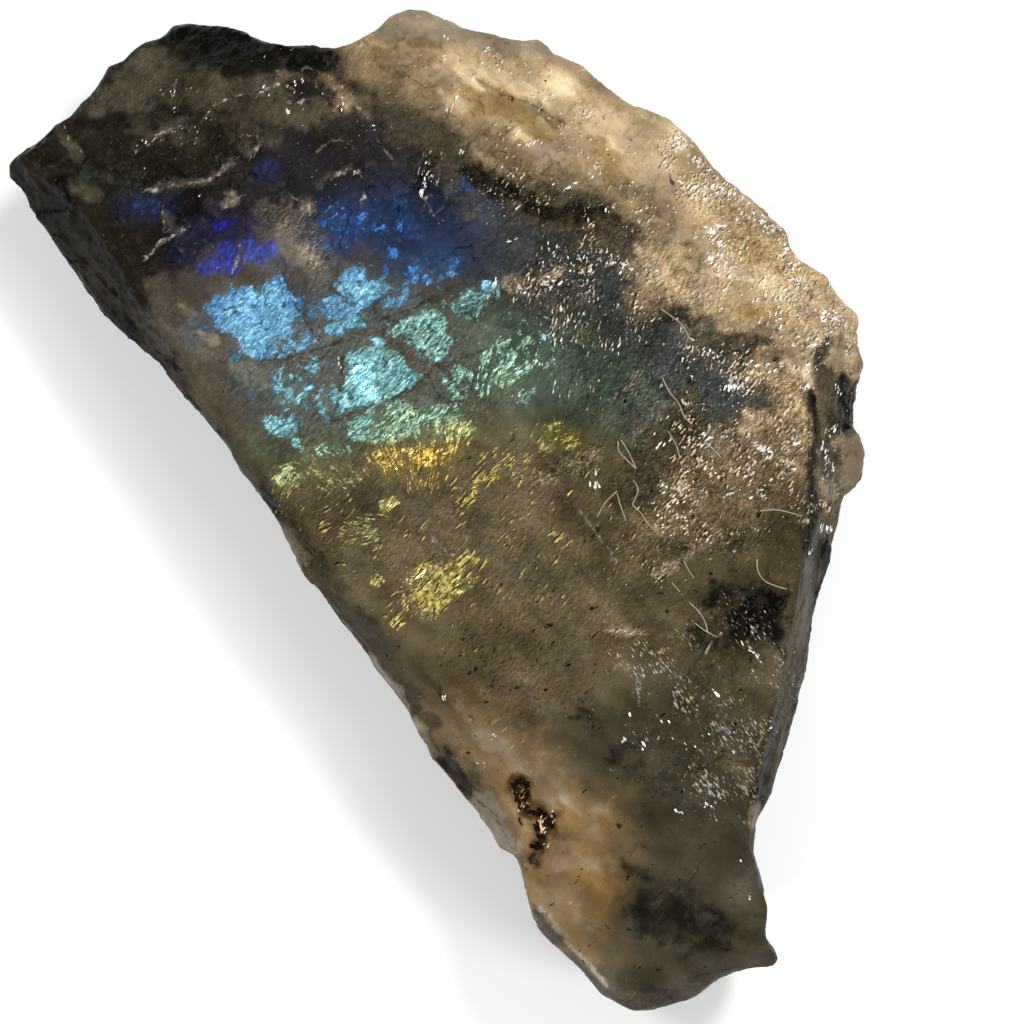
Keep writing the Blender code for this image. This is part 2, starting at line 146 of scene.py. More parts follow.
# Soft strokes over them: colour, half width in pixels, strength, and the line.
STROKES = [
    # the dark upper left
    ("smoke", 34, 0.75, [(110, 106), (150, 76), (190, 84), (230, 96), (262, 108)]),
    ("smoke", 20, 0.5, [(130, 130), (160, 128), (190, 140)]),
    ("smoke", 18, 0.9, [(262, 84), (290, 70), (318, 70)]),
    ("khaki", 10, 0.5, [(282, 78), (300, 74), (320, 82)]),
    ("pale_haze", 8, 0.75, [(284, 70), (296, 66), (310, 70)]),
    ("smoke", 14, 0.9, [(288, 108), (300, 118), (318, 118)]),
    ("khaki", 20, 0.75, [(330, 78), (344, 98)]),
    ("deep_brown", 16, 0.8, [(320, 134), (350, 140)]),
    ("smoke", 14, 0.6, [(236, 128), (262, 138)]),
    ("khaki", 10, 0.45, [(358, 96), (360, 112)]),
    ("black", 30, 0.9, [(176, 24), (250, 44), (330, 54), (352, 60)]),
    ("black", 12, 0.6, [(90, 126), (116, 124)]),
    ("black", 16, 0.7, [(200, 60), (240, 62), (262, 58)]),
    ("black", 14, 0.8, [(58, 180), (60, 230), (100, 262)]),
    ("black", 20, 0.7, [(180, 196), (200, 205), (176, 214)]),
    ("shade_brown", 9, 0.4, [(30, 168), (60, 168)]),
    ("smoke", 8, 0.7, [(62, 128), (72, 142), (80, 152)]),
    ("smoke", 9, 0.7, [(74, 186), (94, 190)]),
    ("haze", 6, 0.6, [(150, 108), (156, 104)]),
    ("haze", 8, 0.8, [(164, 132), (174, 128), (178, 122)]),
    ("haze", 8, 0.7, [(242, 144), (252, 142), (250, 152)]),
    ("bottle_green", 16, 0.36, [(84, 168), (120, 172)]),
    ("shade_brown", 16, 0.6, [(230, 100), (250, 125)]),
    ("haze", 5, 0.6, [(150, 190), (172, 187), (205, 182)]),
    ("haze", 4, 0.6, [(206, 182), (220, 174), (236, 160)]),
    ("haze", 5, 0.5, [(320, 186), (330, 176), (350, 168)]),
    ("haze", 6, 0.8, [(163, 216), (168, 226)]),
    ("haze", 6, 0.6, [(182, 230), (168, 238), (152, 252)]),
    ("pale_haze", 12, 0.42, [(272, 208), (290, 204), (306, 208)]),
    ("pale_haze", 10, 0.50, [(308, 210), (300, 226)]),
    ("haze", 26, 0.9, [(272, 222), (300, 240), (322, 262)]),
    ("pale_haze", 16, 0.35, [(290, 236), (316, 262)]),
    ("pale_haze", 7, 0.45, [(288, 250), (294, 258)]),
    ("pale_haze", 6, 0.7, [(228, 204), (236, 198)]),
    ("haze", 22, 0.8, [(156, 290), (174, 278), (184, 300)]),
    ("pale_haze", 9, 0.75, [(204, 334), (214, 340)]),
    ("pale_haze", 8, 0.5, [(180, 308), (190, 318)]),
    ("pale_haze", 13, 0.6, [(242, 368), (258, 382)]),
    # painted shade: black and dark olive strokes darken the lower-left flank, turned away from the lights
    ("black", 20, 1.0, [(8, 182), (46, 250), (104, 328), (150, 374)]),
    ("deep_brown", 26, 0.7, [(90, 240), (130, 252), (170, 246)]),
    ("black", 12, 0.9, [(146, 356), (180, 394), (200, 418), (226, 446)]),
    ("dark_olive", 15, 0.9, [(232, 452), (276, 516), (330, 594), (392, 668), (436, 740)]),
    ("black", 8, 0.6, [(258, 490), (274, 516)]),
    # the pale rim
    ("grey_tan", 16, 0.8, [(384, 34), (410, 20), (440, 28), (500, 44), (545, 44)]),
    ("khaki", 8, 0.8, [(398, 44), (420, 42), (436, 44)]),
    ("honey", 12, 0.8, [(372, 56), (400, 52), (436, 60)]),
    ("khaki", 12, 0.7, [(392, 92), (424, 98)]),
    ("dark_olive", 12, 0.8, [(366, 88), (392, 104), (420, 118)]),
    ("cream", 14, 0.6, [(452, 66), (480, 72)]),
    ("cream", 24, 0.85, [(510, 84), (540, 96), (560, 84)]),
    ("honey", 20, 0.9, [(470, 96), (500, 106), (520, 126), (548, 136)]),
    ("grey_tan", 16, 0.6, [(490, 150), (520, 160), (560, 152)]),
    ("cream", 10, 0.5, [(528, 76), (546, 96), (570, 116), (600, 122)]),
    ("cream", 28, 1.0, [(608, 130), (632, 136), (650, 130), (670, 134)]),
    ("cream", 9, 0.9, [(450, 72), (464, 78), (480, 86)]),
    ("cream", 6, 0.8, [(449, 50), (448, 72)]),
    ("cream", 8, 0.8, [(508, 132), (526, 144)]),
    ("cream", 7, 0.8, [(566, 84), (588, 96), (606, 108)]),
    ("khaki", 5, 0.8, [(484, 84), (498, 92)]),
    ("khaki", 6, 0.7, [(524, 102), (540, 110), (560, 124)]),
    ("khaki", 6, 0.6, [(590, 66), (610, 84)]),
    ("honey", 7, 0.4, [(652, 160), (672, 172), (690, 196)]),
    ("shade_brown", 14, 0.5, [(448, 168), (466, 186)]),
    ("honey", 12, 0.8, [(596, 148), (612, 160), (612, 190)]),
    ("khaki", 7, 0.5, [(560, 150), (576, 164)]),
    ("cream", 22, 0.6, [(680, 180), (700, 214), (720, 230)]),
    ("honey", 14, 0.6, [(716, 246), (752, 252), (790, 268)]),
    ("honey", 16, 0.7, [(740, 306), (770, 322), (756, 340)]),
    ("cream", 12, 0.5, [(700, 276), (730, 272), (760, 284)]),
    ("khaki", 12, 0.7, [(688, 250), (696, 270), (690, 292)]),
    ("cream", 9, 0.5, [(790, 290), (820, 306), (846, 316)]),
    ("khaki", 30, 0.60, [(366, 60), (410, 70), (430, 84)]),
    ("khaki", 19, 0.8, [(464, 134), (500, 150), (530, 176), (566, 190), (620, 210)]),
    ("khaki", 24, 0.75, [(646, 206), (660, 236)]),
    ("cream", 16, 0.75, [(642, 166), (668, 182)]),
    ("haze", 20, 0.5, [(446, 176), (470, 214)]),
    ("shade_brown", 22, 0.8, [(400, 124), (436, 132), (460, 156)]),
    ("shade_brown", 18, 0.85, [(540, 200), (600, 210), (634, 236), (630, 258), (656, 274)]),
    ("deep_brown", 15, 0.85, [(470, 176), (500, 190), (540, 208), (590, 220), (606, 214)]),
    ("khaki", 14, 0.6, [(636, 270), (660, 262), (690, 296)]),
    ("tan", 14, 0.5, [(656, 286), (672, 298)]),
    ("deep_brown", 16, 0.65, [(676, 320), (704, 332), (722, 346)]),
    ("shade_brown", 22, 0.85, [(704, 344), (740, 356), (756, 352)]),
    ("cream", 13, 0.75, [(752, 374), (770, 366), (790, 364), (806, 372)]),
    ("shade_brown", 12, 0.6, [(770, 392), (796, 404)]),
    ("khaki", 10, 0.8, [(792, 380), (800, 420), (800, 470)]),
    ("tan", 18, 0.65, [(764, 372), (788, 384), (794, 420)]),
    ("tan", 10, 0.6, [(744, 420), (770, 424)]),
    ("pale_haze", 9, 1.2, [(510, 288), (534, 284), (558, 270)]),
    ("haze", 6, 1.0, [(610, 400), (632, 386), (636, 372)]),
    ("haze", 14, 0.45, [(528, 282), (560, 296), (590, 300)]),
    ("pale_haze", 12, 0.6, [(696, 446), (716, 440)]),
    # the middle and the lower right
    ("bottle_green", 20, 0.5, [(300, 440), (260, 446), (280, 470)]),
    ("dark_olive", 28, 0.5, [(330, 500), (420, 500), (480, 520)]),
    ("light_olive", 20, 0.35, [(450, 520), (440, 540)]),
    ("light_olive", 24, 0.6, [(564, 490), (598, 506)]),
    ("light_olive", 34, 0.50, [(640, 620), (640, 650), (580, 676), (520, 700), (490, 730)]),
    ("pale_haze", 11, 0.42, [(540, 478), (556, 478), (570, 462), (596, 450)]),
    ("pale_haze", 18, 0.45, [(700, 440), (724, 452), (740, 470), (706, 480)]),
    ("haze", 8, 0.70, [(634, 424), (652, 414), (668, 402)]),
    ("khaki", 16, 0.6, [(640, 522), (668, 520), (688, 500)]),
    ("pale_haze", 7, 0.6, [(654, 574), (672, 564), (704, 546)]),
    ("khaki", 6, 0.6, [(704, 546), (740, 534)]),
    ("pale_haze", 4, 0.8, [(606, 632), (622, 629), (640, 631)]),
    ("khaki", 34, 0.40, [(650, 496), (700, 510), (770, 496)]),
    ("dark_olive", 22, 0.5, [(520, 574), (556, 584)]),
    ("dark_olive", 18, 0.5, [(740, 536), (790, 532)]),
    ("dark_olive", 26, 1.0, [(624, 488), (644, 468), (662, 450), (690, 420)]),
    ("dark_olive", 50, 0.7, [(670, 690), (740, 700), (760, 676)]),
    ("deep_brown", 12, 0.6, [(578, 716), (592, 722)]),
    ("light_olive", 22, 0.6, [(722, 768), (752, 782)]),
    ("tail_grey", 20, 0.7, [(680, 776), (704, 790)]),
    ("dark_olive", 16, 0.7, [(700, 660), (730, 680)]),
    ("black", 24, 0.75, [(716, 604), (744, 606)]),
    ("black", 28, 0.95, [(738, 628), (756, 614), (784, 620), (788, 642)]),
    ("deep_brown", 20, 0.6, [(706, 640), (722, 632)]),
    ("deep_brown", 14, 0.6, [(616, 758), (640, 744)]),
    ("deep_brown", 20, 0.5, [(636, 768), (664, 786)]),
    ("dark_olive", 12, 0.5, [(440, 740), (480, 790), (500, 830)]),
    # the tail
    ("khaki", 22, 0.8, [(458, 724), (510, 748), (540, 780)]),
    ("khaki", 12, 0.7, [(560, 800), (590, 836), (560, 856)]),
    ("tail_honey", 30, 0.8, [(576, 872), (586, 900), (606, 890)]),
    ("tail_honey", 16, 0.5, [(560, 820), (600, 830), (616, 826)]),
    ("grey_tan", 9, 0.45, [(480, 738), (502, 748), (522, 772)]),
    ("grey_tan", 8, 0.40, [(562, 800), (586, 812), (604, 806)]),
    ("grey_tan", 7, 0.40, [(552, 868), (574, 856), (598, 868)]),
    ("grey_tan", 6, 0.35, [(590, 826), (606, 846), (612, 868)]),
    ("grey_tan", 7, 0.35, [(548, 890), (566, 910), (590, 930)]),
    ("shade_brown", 9, 0.5, [(626, 850), (650, 846), (676, 852)]),
    ("khaki", 16, 0.6, [(552, 880), (560, 912)]),
    ("deep_brown", 30, 0.85, [(652, 914), (690, 922), (716, 930)]),
    ("deep_brown", 10, 0.6, [(630, 868), (650, 880)]),
    ("deep_brown", 20, 0.4, [(680, 950), (720, 956)]),
    ("haze", 14, 0.4, [(740, 868), (746, 900)]),
    ("haze", 14, 0.7, [(606, 990), (640, 1000), (690, 990)]),
    ("haze", 12, 0.5, [(716, 966), (768, 958)]),
    # round the pits
    ("rust", 12, 0.9, [(520, 786), (524, 806), (536, 812)]),
    ("rust", 15, 1.0, [(546, 812), (546, 832), (540, 856)]),
    ("deep_brown", 7, 0.7, [(546, 834), (540, 846), (534, 858)]),
    # the right flank
    ("shade_brown", 12, 0.9, [(826, 346), (824, 380)]),
    ("khaki", 9, 0.7, [(838, 340), (846, 350)]),
    ("grey_tan", 11, 1.0, [(848, 358), (855, 374)]),
    ("cream", 8, 0.4, [(850, 360), (856, 370)]),
    ("black", 11, 0.95, [(844, 388), (842, 404), (838, 424)]),
    ("deep_brown", 6, 0.85, [(810, 392), (814, 440), (813, 500), (808, 545)]),
    ("shade_brown", 9, 0.9, [(828, 420), (830, 474)]),
    ("pale_haze", 15, 1.0, [(850, 448), (856, 466), (846, 484)]),
    ("pale_haze", 9, 0.9, [(828, 486), (834, 500)]),
    # painted shade, over the flank's own dark colour: these strokes darken the lower right flank
    ("deep_brown", 9, 0.9, [(826, 540), (820, 560)]),
    ("dark_olive", 18, 1.0, [(812, 580), (804, 650), (793, 690), (779, 736), (764, 790)]),
    ("haze", 5, 0.9, [(808, 560), (808, 590), (803, 626), (799, 646)]),
    ("black", 6, 1.0, [(832, 552), (825, 590), (815, 640), (805, 696)]),
    ("black", 6, 1.0, [(805, 696), (795, 738), (780, 780), (760, 814)]),
    ("deep_brown", 10, 0.8, [(766, 780), (758, 800)]),
    ("pale_haze", 6, 0.8, [(752, 806), (750, 824)]),
    # the lips of the lower-left flank
    ("pale_haze", 7, 0.8, [(284, 530), (298, 562)]),
    ("lip_grey", 7, 0.8, [(372, 660), (392, 690), (404, 712)]),
    ("lip_grey", 8, 0.85, [(414, 726), (434, 756)]),
    ("deep_brown", 9, 0.85, [(444, 756), (472, 796)]),
    ("lip_grey", 10, 1.0, [(482, 800), (500, 830), (508, 850)]),
    ("haze", 8, 0.9, [(536, 918), (566, 956), (604, 996)]),
    ("lip_grey", 3, 0.9, [(540, 908), (572, 946), (606, 986)]),
]

# How grainy each place is, over SMOOTH_GRAIN: half width in pixels, amount, and the line.
SMOOTH_GRAIN = 0.07
GRAIN = [
    (90, 0.28, [(120, 120), (250, 90), (340, 100)]),
    (80, 0.30, [(150, 230), (260, 180), (400, 150)]),
    (50, 0.24, [(190, 330), (240, 400)]),
    (80, 0.50, [(290, 330), (380, 350), (440, 390), (340, 430)]),
    (40, 0.55, [(480, 184), (540, 206), (600, 232), (640, 250)]),
    (60, 0.58, [(630, 280), (690, 330), (740, 380), (790, 430)]),
    (80, 0.70, [(560, 280), (620, 350), (680, 410)]),
    (50, 0.42, [(740, 220), (780, 270), (830, 320)]),
    (60, 0.70, [(660, 470), (720, 470), (780, 480)]),
    (40, 0.65, [(640, 540), (740, 530)]),
    (100, 0.40, [(340, 520), (420, 520), (520, 520), (600, 540), (520, 640)]),
    (70, 0.30, [(700, 620), (760, 650), (700, 740)]),
    (22, 0.50, [(840, 380), (834, 460), (826, 530)]),
    (12, 1.10, [(540, 478), (556, 478), (570, 462), (596, 450)]),
    (9, 1.20, [(510, 284), (534, 280), (558, 266)]),
    (9, 1.20, [(610, 400), (632, 386), (636, 372)]),
    (40, 0.80, [(740, 380), (790, 400), (790, 450)]),
    (10, 1.10, [(654, 574), (672, 564), (704, 546), (740, 534)]),
    (7, 1.10, [(606, 632), (622, 629), (640, 631)]),
    (22, 0.80, [(272, 212), (304, 216), (316, 256)]),
    (9, 0.80, [(147, 190), (186, 184), (236, 160)]),
    (10, 0.80, [(240, 142), (254, 148)]),
]

# Soft coloured light under the surface: colour, half width in pixels, strength, and the line.
GLOW = [
    ((0.006, 0.010, 0.036), 20, 0.6, [(128, 206), (160, 204)]),
    ((0.008, 0.020, 0.075), 10, 0.9, [(136, 204), (148, 208)]),
    ((0.005, 0.009, 0.060), 10, 0.8, [(262, 172), (272, 170)]),
    ((0.012, 0.024, 0.420), 5, 1.0, [(216, 225), (227, 225)]),
    ((0.002, 0.003, 0.030), 30, 0.7, [(190, 250), (230, 230), (280, 250)]),
    ((0.012, 0.026, 0.230), 10, 1.0, [(206, 268), (222, 262), (230, 250), (230, 268)]),
    ((0.014, 0.036, 0.240), 9, 1.0, [(250, 246), (256, 256), (272, 250)]),
    ((0.016, 0.060, 0.260), 5, 0.8, [(246, 258), (262, 260)]),
    ((0.002, 0.007, 0.022), 44, 0.9, [(330, 235), (380, 222), (420, 230), (470, 250)]),
    ((0.006, 0.030, 0.100), 16, 0.7, [(340, 240), (352, 232)]),
    ((0.012, 0.045, 0.120), 5, 0.7, [(464, 182), (467, 188)]),
    ((0.008, 0.034, 0.110), 10, 0.7, [(400, 205), (412, 230)]),
    ((0.010, 0.040, 0.100), 14, 0.8, [(424, 266), (452, 262)]),
    ((0.010, 0.030, 0.060), 18, 0.6, [(196, 330), (212, 316)]),
    ((0.014, 0.040, 0.060), 34, 0.6, [(300, 316), (350, 310), (400, 300)]),
    ((0.006, 0.026, 0.019), 46, 0.7, [(440, 330), (500, 340), (540, 370), (600, 380)]),
    ((0.016, 0.044, 0.028), 40, 0.7, [(330, 430), (400, 420), (440, 416)]),
    ((0.020, 0.036, 0.020), 26, 0.7, [(256, 440), (300, 452)]),
    ((0.034, 0.060, 0.062), 26, 0.8, [(250, 376), (290, 400)]),
    ((0.034, 0.056, 0.046), 24, 0.8, [(330, 344), (350, 330)]),
    ((0.060, 0.046, 0.004), 18, 0.60, [(380, 462), (420, 466), (452, 452)]),
    ((0.070, 0.062, 0.008), 14, 0.70, [(544, 438), (572, 438)]),
    ((0.040, 0.042, 0.014), 16, 0.50, [(280, 474), (310, 472)]),
]

# Flash of the stone, laid one over another: place on the colour scale, brightness, how much of it flashes,
# softness of its edge in pixels, how far it breaks into needles rather than chips, and the outline.
FLASH = {
    "debris_left": (
        0.42, 0.30, 0.24, 24, 0,
        [(200, 290), (300, 262), (400, 262), (360, 330), (340, 430), (250, 420)],
    ),
    "debris_right": (0.60, 0.28, 0.30, 24, 0.2, [(400, 270), (480, 290), (490, 400), (340, 430), (350, 330)]),
    "navy_fleck_left": (0.26, 0.75, 0.36, 12, 0, [(308, 236), (345, 226), (356, 256), (318, 270)]),
    "navy_fleck_upper": (0.24, 0.70, 0.32, 12, 0, [(318, 200), (400, 205), (405, 236), (324, 230)]),
    "navy_fleck_right": (0.27, 0.80, 0.36, 10, 0, [(376, 240), (420, 256), (420, 282), (380, 272)]),
    "navy_dot_left": (0.27, 1.10, 0.85, 4, 0, [(386, 248), (394, 248), (396, 257), (387, 258)]),
    "navy_dot_right": (0.27, 1.10, 0.80, 4, 0, [(406, 263), (414, 263), (414, 272), (407, 272)]),
    "navy_edge": (
        0.32, 0.60, 0.55, 8, 0,
        [(418, 276), (436, 266), (460, 258), (456, 270), (436, 284), (422, 288)],
    ),
    "azure_block": (
        0.37, 0.78, 1.10, 11, 0,
        [(207, 305), (222, 293), (238, 288), (262, 286), (276, 278), (285, 277), (286, 290), (295, 297),
         (297, 312), (300, 322), (300, 334), (290, 346), (276, 352), (256, 358),
         (240, 345), (226, 330), (212, 318)],
    ),
    "azure_bright": (
        0.43, 1.00, 1.10, 14, 0,
        [(226, 312), (262, 292), (284, 300), (276, 330), (250, 352), (232, 330)],
    ),
    "azure_broken": (0.43, 0.70, 0.46, 8, 0, [(292, 314), (316, 320), (324, 348), (300, 352), (276, 352)]),
    "azure_left": (0.36, 0.45, 0.30, 10, 0, [(186, 322), (206, 318), (216, 340), (192, 345)]),
    "azure_between": (
        0.39, 0.60, 0.80, 7, 0,
        [(317, 302), (328, 292), (341, 294), (357, 310), (350, 319), (321, 321)],
    ),
    "azure_beside": (0.39, 0.42, 0.55, 7, 0, [(300, 296), (316, 292), (322, 330), (306, 316)]),
    "azure_beneath": (0.45, 0.75, 0.66, 6, 0, [(322, 324), (356, 316), (366, 326), (346, 336), (324, 336)]),
    "cup_top": (
        0.40, 0.85, 0.92, 5, 0,
        [(341, 274), (352, 265), (364, 266), (364, 278), (352, 285), (343, 282)],
    ),
    "cup": (
        0.46, 0.98, 1.10, 7, 0,
        [(339, 285), (352, 281), (362, 290), (366, 281), (379, 282), (379, 296), (366, 305), (353, 303),
         (345, 294)],
    ),
    "right_of_cup": (0.42, 0.55, 0.55, 8, 0, [(382, 284), (410, 284), (410, 306), (384, 308)]),
    "turquoise_block": (
        0.55, 0.70, 1.04, 9, 0.1,
        [(346, 352), (362, 347), (380, 349), (392, 351), (404, 363), (420, 375), (414, 383), (403, 387),
         (396, 398), (376, 403), (352, 411), (340, 415), (338, 407), (344, 390), (346, 370)],
    ),
    "turquoise_heart": (
        0.53, 1.45, 1.12, 9, 0,
        [(354, 364), (374, 360), (377, 378), (378, 396), (362, 398), (352, 380)],
    ),
    "turquoise_chip": (0.50, 0.95, 0.95, 4, 0, [(276, 382), (284, 372), (297, 368), (295, 379), (284, 392)]),
    "turquoise_crumbs": (
        0.52, 0.95, 0.88, 5, 0,
        [(303, 385), (315, 373), (322, 384), (331, 392), (328, 406), (318, 402), (312, 394)],
    ),
    "turquoise_bits": (0.50, 0.80, 0.48, 8, 0, [(268, 364), (340, 356), (340, 410), (290, 412), (272, 396)]),
    "low_left_crumbs": (
        0.54, 0.78, 0.92, 6, 0,
        [(262, 418), (280, 415), (293, 425), (295, 433), (280, 439), (268, 431)],
    ),
    "small_chip": (0.52, 0.80, 0.90, 4, 0, [(290, 439), (298, 438), (298, 446), (291, 446)]),
    "above_turquoise": (0.50, 0.85, 0.95, 4, 0, [(370, 338), (381, 337), (383, 345), (374, 348)]),
    "teal_diamond": (
        0.60, 0.66, 0.90, 9, 0.1,
        [(387, 330), (402, 319), (420, 309), (437, 307), (449, 318), (443, 330), (453, 345), (445, 360),
         (436, 363), (420, 351), (404, 340)],
    ),
    "teal_beyond": (0.58, 0.44, 0.62, 10, 0.3, [(440, 300), (470, 284), (504, 280), (500, 306), (462, 330)]),
    "cyan_spot": (0.47, 1.10, 0.80, 5, 0, [(480, 284), (490, 282), (490, 292), (481, 292)]),
    "green_block": (
        0.66, 0.85, 0.70, 8, 0.2,
        [(441, 372), (452, 367), (464, 366), (484, 378), (476, 392), (468, 401), (456, 397), (446, 388)],
    ),
    "green_field": (0.67, 0.55, 0.44, 26, 0.4, [(480, 326), (552, 318), (560, 380), (512, 414), (476, 396)]),
    "green_ridge": (
        0.67, 0.88, 0.50, 20, 0.60,
        [(474, 350), (504, 332), (536, 334), (532, 372), (508, 396), (478, 396)],
    ),
    "pale_beyond": (0.54, 0.60, 0.44, 8, 1.0, [(538, 318), (548, 314), (548, 338), (540, 342)]),
    "mint_left": (
        0.62, 0.66, 0.80, 10, 0.1,
        [(339, 425), (352, 414), (372, 406), (382, 420), (374, 438), (354, 443), (344, 436)],
    ),
    "mint_band": (
        0.68, 0.68, 0.78, 11, 0.2,
        [(380, 408), (404, 401), (420, 411), (440, 402), (462, 404), (460, 422), (452, 432), (436, 442),
         (420, 441), (408, 437), (396, 446), (378, 452), (366, 444)],
    ),
    "mint_specks": (0.67, 0.75, 0.48, 12, 0.5, [(300, 444), (350, 444), (352, 462), (300, 462)]),
    "yellow_green": (0.79, 0.85, 0.66, 12, 0.7, [(420, 434), (440, 424), (474, 424), (470, 446), (430, 450)]),
    "gold": (
        0.94, 0.72, 0.56, 13, 0.50,
        [(361, 453), (380, 450), (400, 444), (420, 450), (440, 444), (464, 444), (448, 468), (434, 476),
         (420, 480), (406, 472), (392, 476), (376, 468)],
    ),
    "gold_heart": (0.97, 1.15, 0.66, 10, 0.45, [(408, 456), (420, 446), (436, 450), (434, 470), (416, 476)]),
    "gold_below": (0.97, 0.45, 0.34, 12, 0.8, [(392, 474), (450, 470), (440, 494), (410, 494)]),
    "yellow_left": (
        0.79, 0.80, 0.60, 14, 0.3,
        [(272, 476), (284, 465), (300, 465), (312, 478), (298, 487), (276, 486)],
    ),
    "yellow_specks": (0.82, 0.50, 0.42, 14, 0.6, [(300, 466), (366, 462), (372, 488), (320, 496)]),
    "yellow_chip": (
        0.85, 0.70, 0.88, 5, 0.3,
        [(373, 513), (381, 500), (392, 494), (401, 500), (391, 512), (380, 517)],
    ),
    "yellow_low_left": (0.84, 0.55, 0.42, 12, 0.6, [(345, 520), (384, 514), (380, 546), (340, 550)]),
    "yellow_strokes": (
        0.93, 0.55, 0.30, 8, 1.0,
        [(448, 500), (478, 476), (508, 452), (518, 456), (496, 486), (462, 508)],
    ),
    "yellow_right": (
        0.87, 0.48, 0.50, 12, 0.7,
        [(539, 437), (548, 424), (566, 423), (579, 436), (572, 447), (552, 452), (540, 447)],
    ),
    "yellow_foil": (
        0.88, 0.78, 0.53, 10, 0.0,
        [(404, 580), (424, 562), (450, 562), (474, 574), (468, 590), (448, 604), (414, 596)],
    ),
    "yellow_foil_low": (
        0.86, 0.60, 0.44, 8, 0.5,
        [(398, 598), (436, 600), (452, 604), (430, 622), (404, 620)],
    ),
    "yellow_dots": (0.84, 0.75, 0.75, 4, 0, [(370, 582), (382, 576), (388, 582), (376, 590)]),
}

# Where the flash stands on its colour scale away from all of them: row of pixels + a quarter of the column,
# and the place on the scale.
SCALE_DOWN_FACE = [(290, 0.15), (370, 0.38), (460, 0.55), (520, 0.68), (560, 0.88)]

# The needles of the flash fan out from a place below the gold. The radius is in millimetres.
FAN_CENTRE_PX = (418, 530)
FAN_RADIUS = 9.0

# Colour scale of the flash, from violet to gold.
FLASH_SCALE = [
    (0.00, (0.060, 0.040, 0.200)),
    (0.08, (0.030, 0.035, 0.420)),
    (0.16, (0.030, 0.090, 0.480)),
    (0.28, (0.050, 0.200, 0.560)),
    (0.40, (0.160, 0.400, 0.640)),
    (0.48, (0.190, 0.480, 0.620)),
    (0.56, (0.250, 0.540, 0.530)),
    (0.66, (0.250, 0.460, 0.330)),
    (0.76, (0.400, 0.480, 0.210)),
    (0.86, (0.540, 0.450, 0.120)),
    (0.95, (0.600, 0.390, 0.070)),
    (1.00, (0.640, 0.340, 0.040)),
]

# How thick the glints lie, in soft strokes: half width in pixels, strength, and the line. Those of the first
# kind run up to the right, of the second nearly upright and of the third down to the right.
SLANTED = [
    (70, 0.95, [(720, 210), (770, 250), (840, 310)]),
    (50, 1.12, [(690, 150), (730, 200), (790, 250), (850, 310)]),
    (80, 0.85, [(620, 240), (700, 310), (760, 350), (800, 400)]),
    (50, 0.80, [(560, 110), (600, 170), (610, 210)]),
    (50, 0.75, [(620, 200), (560, 184), (520, 186)]),
    (40, 0.55, [(440, 60), (490, 50), (600, 80)]),
    (55, 1.05, [(700, 444), (730, 470), (760, 480)]),
    (50, 1.00, [(680, 500), (720, 520), (780, 480)]),
    (60, 1.10, [(750, 380), (790, 420), (800, 480)]),
    (26, 0.90, [(560, 290), (590, 274)]),
    (40, 0.55, [(640, 530), (690, 510)]),
    (30, 0.80, [(660, 566), (740, 536)]),
    (26, 0.60, [(830, 390), (826, 450), (826, 530)]),
    (40, 0.45, [(700, 560), (660, 590), (600, 600)]),
    (60, 0.50, [(280, 84), (340, 110)]),
    (44, 0.45, [(160, 90), (200, 120), (170, 140)]),
    (30, 0.40, [(110, 150), (150, 142)]),
    (40, 0.40, [(380, 110), (440, 160)]),
    (30, 0.40, [(300, 186), (360, 176)]),
    (34, 0.60, [(480, 130), (540, 150), (570, 180)]),
    (26, 0.90, [(590, 160), (602, 200)]),
    (50, 0.70, [(600, 230), (640, 280), (690, 330)]),
    (40, 0.30, [(230, 260), (300, 340)]),
]
UPRIGHT = [
    (80, 0.84, [(580, 276), (620, 320), (670, 370)]),
    (60, 0.90, [(560, 300), (570, 380)]),
    (22, 1.20, [(528, 286), (556, 302)]),
    (46, 0.60, [(700, 350), (720, 390)]),
    (20, 0.80, [(446, 60), (440, 110), (430, 190)]),
    (16, 0.90, [(430, 168), (420, 198)]),
    (20, 0.50, [(462, 150), (470, 200)]),
    (50, 0.28, [(460, 240), (520, 250)]),
    (22, 0.85, [(584, 482), (602, 484)]),
    (60, 0.50, [(500, 320), (540, 390)]),
]
SLOPING = [
    (84, 1.12, [(724, 664), (770, 690), (750, 740)]),
    (70, 1.15, [(650, 690), (690, 740), (740, 770)]),
    (40, 0.60, [(630, 720), (640, 750)]),
    (34, 0.30, [(680, 790), (720, 800)]),
    (30, 0.60, [(790, 470), (790, 550)]),
    (50, 0.22, [(560, 740), (600, 770)]),
]
# Short dull yellow strokes in the olive ground, up to the right.
OLIVE_STROKES = [
    (40, 1.30, [(470, 490), (520, 452)]),
    (10, 1.70, [(613, 478), (630, 456)]),
    (26, 1.90, [(400, 618), (440, 590), (470, 566)]),
    (60, 0.95, [(480, 530), (560, 520), (620, 500)]),
    (60, 0.70, [(500, 590), (560, 570), (640, 550)]),
    (60, 0.95, [(300, 500), (330, 530), (400, 540), (440, 550)]),
    (40, 0.70, [(600, 450), (640, 480)]),
    (50, 0.70, [(620, 530), (690, 520), (730, 540)]),
    (50, 0.60, [(480, 640), (560, 640)]),
]

# Where the surface broke into small flat facets that catch the light: half width, strength, and the line.
FACETS = [
    (70, 0.8, [(600, 230), (700, 320), (760, 400)]),
    (60, 1.0, [(760, 210), (800, 270), (830, 320)]),
    (80, 0.8, [(580, 300), (680, 400), (720, 500)]),
    (110, 0.30, [(120, 120), (250, 90), (340, 110)]),
    (110, 0.40, [(240, 300), (360, 360), (500, 360)]),
    (90, 0.40, [(720, 560), (740, 700)]),
    (30, 0.50, [(838, 400), (828, 500)]),
]

